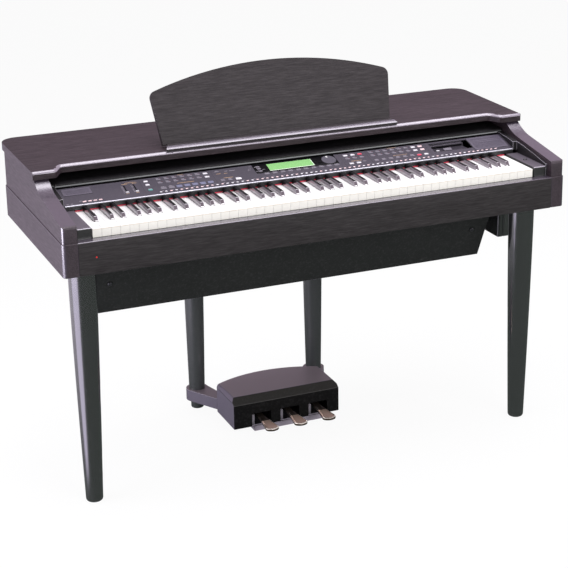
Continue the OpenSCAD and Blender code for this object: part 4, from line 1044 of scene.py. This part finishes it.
def makeDrive():
    values = driveSetup
    dressNode("disk_drive", "dark_plastic", "drive", rounding=values["drive"])
    dressNode("disk_eject", "button_plastic", "pale", body="disk_eject", rounding=values["eject"])
    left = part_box("disk_drive")[0].x * 1000
    # grey lines along the disk slot are painted highlights on its lips
    lines = [panelBar(left + x, *line) for x, *line in values["lines"]]
    panelGroup(lines, "driveSlotHighlights", "dark_plastic", "grey")
    x, *plate = values["plate"]
    plate = [panelBar(left + x, *plate)]
    panelGroup(plate, "drivePlate", "dark_plastic", "grey", edge=values["plateEdge"])


powerSetup = {"rounding": (0.0008, 3), "radius": 0.0014, "sunk": 0.0001, "high": 0.0002, "sides": 20,
              "dotEdge": (0.0001, 1)}


def makePower():
    values = powerSetup
    dressNode("power_button", "dark_plastic", "dark", body="power_button", rounding=values["rounding"])
    low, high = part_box("power_button")
    top = high.z
    dot = addDrum("powerMark", values["radius"], top - values["sunk"], top + values["high"],
                  ((low + high) / 2).xy, values["sides"])
    bevelEdges(dot, *values["dotEdge"])
    finishPiece(dot, "button_plastic", "pale", body="power_button")


def makePanel():
    # the fascia under the trim and the undersides are painted black as shade
    values = panelSetup
    dressNode("control_panel", "panel_plastic", "panel", "dark", rounding=values["rounding"], limit=40,
              paint=((1, lambda face: panelPoint(face.center).z < values["fascia"] or face.normal.z < 0.2),
                     (0, anyFace)))
    paintButtons("style_buttons", styleFinish, "grey", "pad", "pale", "teal", "rose")
    paintButtons("display_buttons", lambda point: 0, "grey")
    paintButtons("voice_buttons", voiceFinish, "grey", "pale", "red", "rose")
    paintButtons("function_buttons", functionFinish, "pale", "rose", "grey", shape=raiseCaps,
                 rounding=buttonSetup["capEdge"])
    makeMarks()
    makeGrilles()
    makeDisplay()
    makeDial()
    makeSliders()
    makeDrive()
    makePower()
    print("control panel made")


pedalSetup = {"shell": (0.0022, 3), "base": (0.0012, 2), "arms": (0.0024, 3), "pedal": (0.0029, 4),
              "endBand": 0.012, "skid": 0.003, "neck": 0.004, "shade": 0.03, "rear": 0.05, "spread": 0.36,
              "taper": 0.07, "rim": 0.003, "tip": 0.022}
pedalNodes = ("soft_pedal", "sostenuto_pedal", "damper_pedal")


def makePedals():
    values = pedalSetup
    low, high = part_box("pedal_box")
    end = high.x - values["endBand"]
    # the shell's top and ends get painted lit tones, its front, underside, chamfer and slot walls painted
    # shade, its edges a highlight
    dressNode("pedal_box", "pedal_plastic", "pedalLitTop", "pedalLitEnd", "pedalEdgeHighlight", "pedalShadedFront", "pedalShadedBand",
              rounding=values["shell"], limit=25, edgeSlot=2, paint=(
                  (4, lambda face: face.normal.y < -0.2 and face.normal.z > 0.4),
                  (3, lambda face: face.normal.y < -0.4 or face.normal.z < -0.5),
                  (1, lambda face: abs(face.normal.x) > 0.5 and abs(face.center.x) > end
                   and face.material_index != 2),
                  (3, lambda face: abs(face.normal.x) > 0.5)))
    dressNode("pedal_base", "pedal_plastic", "rubber", "skid", rounding=values["base"], paint=(
        (1, lambda face: face.center.z < low.z + values["skid"] and abs(face.normal.z) < 0.5),))
    # the arms' tops, fronts and sides get painted lit tones and their rounded edges a painted highlight
    dressNode("pedal_arms", "pedal_plastic", "pedalLitEnd", "pedalEdgeHighlight", "pedalLitTop", rounding=values["arms"],
              edgeSlot=1, paint=((2, lambda face: face.normal.z > 0.9 or face.normal.y < -0.9),
                                 (0, lambda face: face.normal.z < 0.1)))
    for node in pedalNodes:
        makePedal(node, low.y)
    makeCheeks(low, high)
    print("pedals made")


# the foot plate broadens towards its end; painted highlights on its rim and edges, painted shade on its
# sides and rear
def makePedal(node, shellFront):
    values = pedalSetup
    pedal = copyNode(node)
    corner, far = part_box(node)
    middle = (corner.x + far.x) / 2
    neck, shade, rear = (shellFront - values[key] for key in ("neck", "shade", "rear"))
    for y in (neck, shade, rear):
        cutAcross(pedal, (0, y, 0), (0, 1, 0))
    for point in pedal.data.vertices:
        out = min(max((neck - point.co.y) / values["taper"], 0), 1)
        point.co.x = middle + (point.co.x - middle) * (1 + values["spread"] * out)
    bevelEdges(pedal, *values["pedal"], 32, 1)
    startEdit(pedal)
    selectBy(pedal, "FACE", lambda face: face.normal.z > 0.97 and face.calc_center_median().y < shellFront)
    bpy.ops.mesh.inset(thickness=values["rim"])
    endEdit(pedal)
    inner = {face.index for face in pedal.data.polygons if face.select}
    finishPiece(pedal, "pedal_brass", "brass", "brassRimHighlight", "brassShadedSide", "brassShadow", "brassGlint", body=node,
                replaces=node)
    tip = corner.y + values["tip"]
    paintFaces(pedal, (3, lambda face: face.center.y > shade), (2, lambda face: face.normal.z < 0.12),
               (4, lambda face: face.normal.z < 0.8),
               (1, lambda face: (face.center.y < tip or face.center.x > middle) and face.index not in inner),
               (0, anyFace))


# corners of a cheek from the middle of its slot and the shell's front and foot, and of the seam at each end
cheekSetup = {"near": (-0.0279, 0.0035, 0.005), "far": (-0.02, 0.024, 0.034), "cheekEdge": (0.0012, 2),
              "seamY": (0.012, 0.12), "seamZ": (0.0118, 0.0104), "seamOut": 0.00015, "seamIn": 0.001,
              "seamEdge": (0.0001, 1)}


# pale guide cheeks at the left of the slots and dark seams along the shell's ends
def makeCheeks(low, high):
    values = cheekSetup
    cheeks = []
    for node in pedalNodes:
        corner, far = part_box(node)
        foot = Vector(((corner.x + far.x) / 2, low.y, low.z))
        cheeks.append(addBlock("cheek", foot + Vector(values["near"]), foot + Vector(values["far"])))
    piece = joinPieces(cheeks, "pedalCheeks")
    bevelEdges(piece, *values["cheekEdge"])
    finishPiece(piece, "pedal_plastic", "cheek")
    seams = []
    for side, x in ((-1, low.x), (1, high.x)):
        near, far = sorted((x + side * values["seamOut"], x - side * values["seamIn"]))
        seams.append(addBlock("seam", (near, low.y + values["seamY"][0], high.z - values["seamZ"][0]),
                              (far, low.y + values["seamY"][1], high.z - values["seamZ"][1])))
    piece = joinPieces(seams, "pedalSeams")
    bevelEdges(piece, *values["seamEdge"])
    finishPiece(piece, "dark_plastic", "groove")


# rounding, slot and finish of each small part
smallParts = {"thumb_screws": ((0.0012, 3), "steel", "gunmetal"),
              "woofers": ((0.0008, 1), "speaker_parts", "paint"),
              "pilot_lamp": ((0.0006, 2), "lamp_lens", "redLamp"),
              "power_inlet": ((0.0005, 1), "dark_plastic", "dark"),
              "jack_box": ((0.001, 2), "dark_plastic", "dark")}
innerParts = {"main_board": "circuit", "key_frame": "steel", "power_supply": "steel", "amplifier": "sink"}


def makeSmallParts():
    for node, (rounding, slotName, name) in smallParts.items():
        dressNode(node, slotName, name, rounding=rounding)
    for node, name in innerParts.items():               # hidden in the case, so they keep the CAD's own mesh
        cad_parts[node].data.materials.clear()
        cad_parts[node].data.materials.append(finish[name])
    print("small parts made")


# polished surfaces mirror a floor that is dark in front, pale far behind, with a bright wedge at the left
floorSetup = {
    "size": 60, "under": 0.0004, "colour": (0.88, 0.88, 0.89), "roughness": 0.9,
    "near": (0.095, 0.11, 0.1), "far": (0.7, 0.66, 0.74), "slant": 0.8, "reach": 0.25, "fade": (0.1, 0.55),
    "wedge": (1.45, 1.34, 1.68), "wedgeX": -0.64, "wedgeY": -0.2, "frontSlope": 0.75, "backSlope": 0.45,
    "sideFade": 9.0, "slopeFade": 7.0, "seen": 0.93, "throughGlass": 0.8}


def makeFloor():
    values = floorSetup
    clearSelection()
    bpy.ops.mesh.primitive_plane_add(size=values["size"], location=(0, 0, -values["under"]))
    floor = nameNew("studioFloor")
    material, shader, place = startMaterial("paleFloor", Roughness=values["roughness"], **dull)
    shader.inputs["Base Color"].default_value = (*values["colour"], 1)
    tree = material.node_tree
    path = addNode(tree, "LightPath").outputs
    split = addNode(tree, "SeparateXYZ", {"Vector": place}).outputs
    side = minus(times(split["Y"], values["slant"]), split["X"])
    far = ramp(times(side, values["reach"]), *values["fade"])
    mirrored = mixColour(far, (*values["near"], 1), (*values["far"], 1))
    across = minus(values["wedgeX"], split["X"])
    along = minus(split["Y"], values["wedgeY"])
    front = plus(along, times(across, values["frontSlope"]))
    back = minus(times(across, values["backSlope"]), along)
    wedge = times(across, values["sideFade"], clamp=True)
    for limit in (front, back):
        wedge = times(wedge, times(limit, values["slopeFade"], clamp=True))
    mirrored = mixColour(wedge, mirrored, (*values["wedge"], 1))
    tint = mixColour(path["Is Glossy Ray"], (1, 1, 1, 1), mirrored)
    glow = addNode(tree, "Emission", {"Color": tint, "Strength": 1.0})
    seen = times(path["Is Camera Ray"], values["seen"])
    seen = plus(seen, times(path["Is Transmission Ray"], values["throughGlass"]))
    seen = plus(seen, path["Is Glossy Ray"], clamp=True)
    blend = addNode(tree, "MixShader", {0: seen, 1: shader.outputs[0], 2: glow.outputs[0]})
    feed(blend.outputs[0], tree.nodes["Material Output"].inputs["Surface"])
    floor.data.materials.append(material)


worldSetup = {"fill": 0.42, "mirrored": (0.56, 0.45, 0.54), "seen": 1.0}


def makeWorld():
    values = worldSetup
    world = bpy.data.worlds.new("studio")
    bpy.context.scene.world = world
    world.use_nodes = True
    tree = world.node_tree
    tree.nodes.clear()
    path = addNode(tree, "LightPath").outputs
    seen = maths("MAXIMUM", path["Is Camera Ray"], path["Is Transmission Ray"])
    colour = mixColour(path["Is Glossy Ray"], (*[values["fill"]] * 3, 1), (*values["mirrored"], 1))
    colour = mixColour(seen, colour, (*[values["seen"]] * 3, 1))
    white = addNode(tree, "Background", {"Color": colour, "Strength": 1.0})
    addNode(tree, "OutputWorld", {"Surface": white.outputs[0]})


lightSetup = {
    "top": {"place": (0.5, 0, 3.1), "aim": (0.5, 0, 0.8), "size": (2.8, 2.0), "power": 84,
            "colour": (0.97, 0.94, 1)},
    "left": {"place": (-2.25, -0.15, 0.69), "aim": (-0.6, -0.15, 0.59), "size": (1.7, 0.98), "power": 48,
             "colour": (0.94, 0.9, 1)},
    "front": {"place": (1.4, -4.6, 2.2), "aim": (0, 0, 0.6), "size": (3.0, 2.0), "power": 125,
              "colour": (1, 1, 1)},
}


def makeLights():
    for name, setup in lightSetup.items():
        clearSelection()
        bpy.ops.object.light_add(type="AREA", location=setup["place"])
        lamp = bpy.context.object
        lamp.name = name + "Light"
        lamp.data.shape = "RECTANGLE"
        lamp.data.size, lamp.data.size_y = setup["size"]
        lamp.data.energy = setup["power"]
        lamp.data.color = setup["colour"]
        lamp.visible_camera = False
        away = Vector(setup["place"]) - Vector(setup["aim"])
        lamp.rotation_euler = away.to_track_quat("Z", "Y").to_euler()


cameraSetup = {"place": (-1.62021, -3.96839, 1.97882), "yaw": 0.4164, "pitch": -0.31311, "roll": 0.00807,
               "lens": 104.9, "film": 36, "shift": (-0.0803, -0.1), "farthest": 100}


def makeCamera():
    values = cameraSetup
    clearSelection()
    bpy.ops.object.camera_add(location=values["place"])
    camera = bpy.context.object
    camera.name = "mainCamera"
    turn = (Matrix.Rotation(-values["yaw"], 4, "Z") @ Matrix.Rotation(math.pi / 2 + values["pitch"], 4, "X")
            @ Matrix.Rotation(-values["roll"], 4, "Z"))
    camera.matrix_world = Matrix.Translation(values["place"]) @ turn
    camera.data.sensor_width = values["film"]
    camera.data.lens = values["lens"]
    camera.data.shift_x, camera.data.shift_y = values["shift"]
    camera.data.clip_end = values["farthest"]
    bpy.context.scene.camera = camera
    bpy.context.scene.view_settings.view_transform = "Standard"


def makeStudio():
    makeFloor()
    makeWorld()
    makeLights()
    makeCamera()
    print("studio made")


makeCase()
makeRest()
makeLegs()
makeKeys()
makePanel()
makePedals()
makeSmallParts()
makeStudio()
clearSelection()
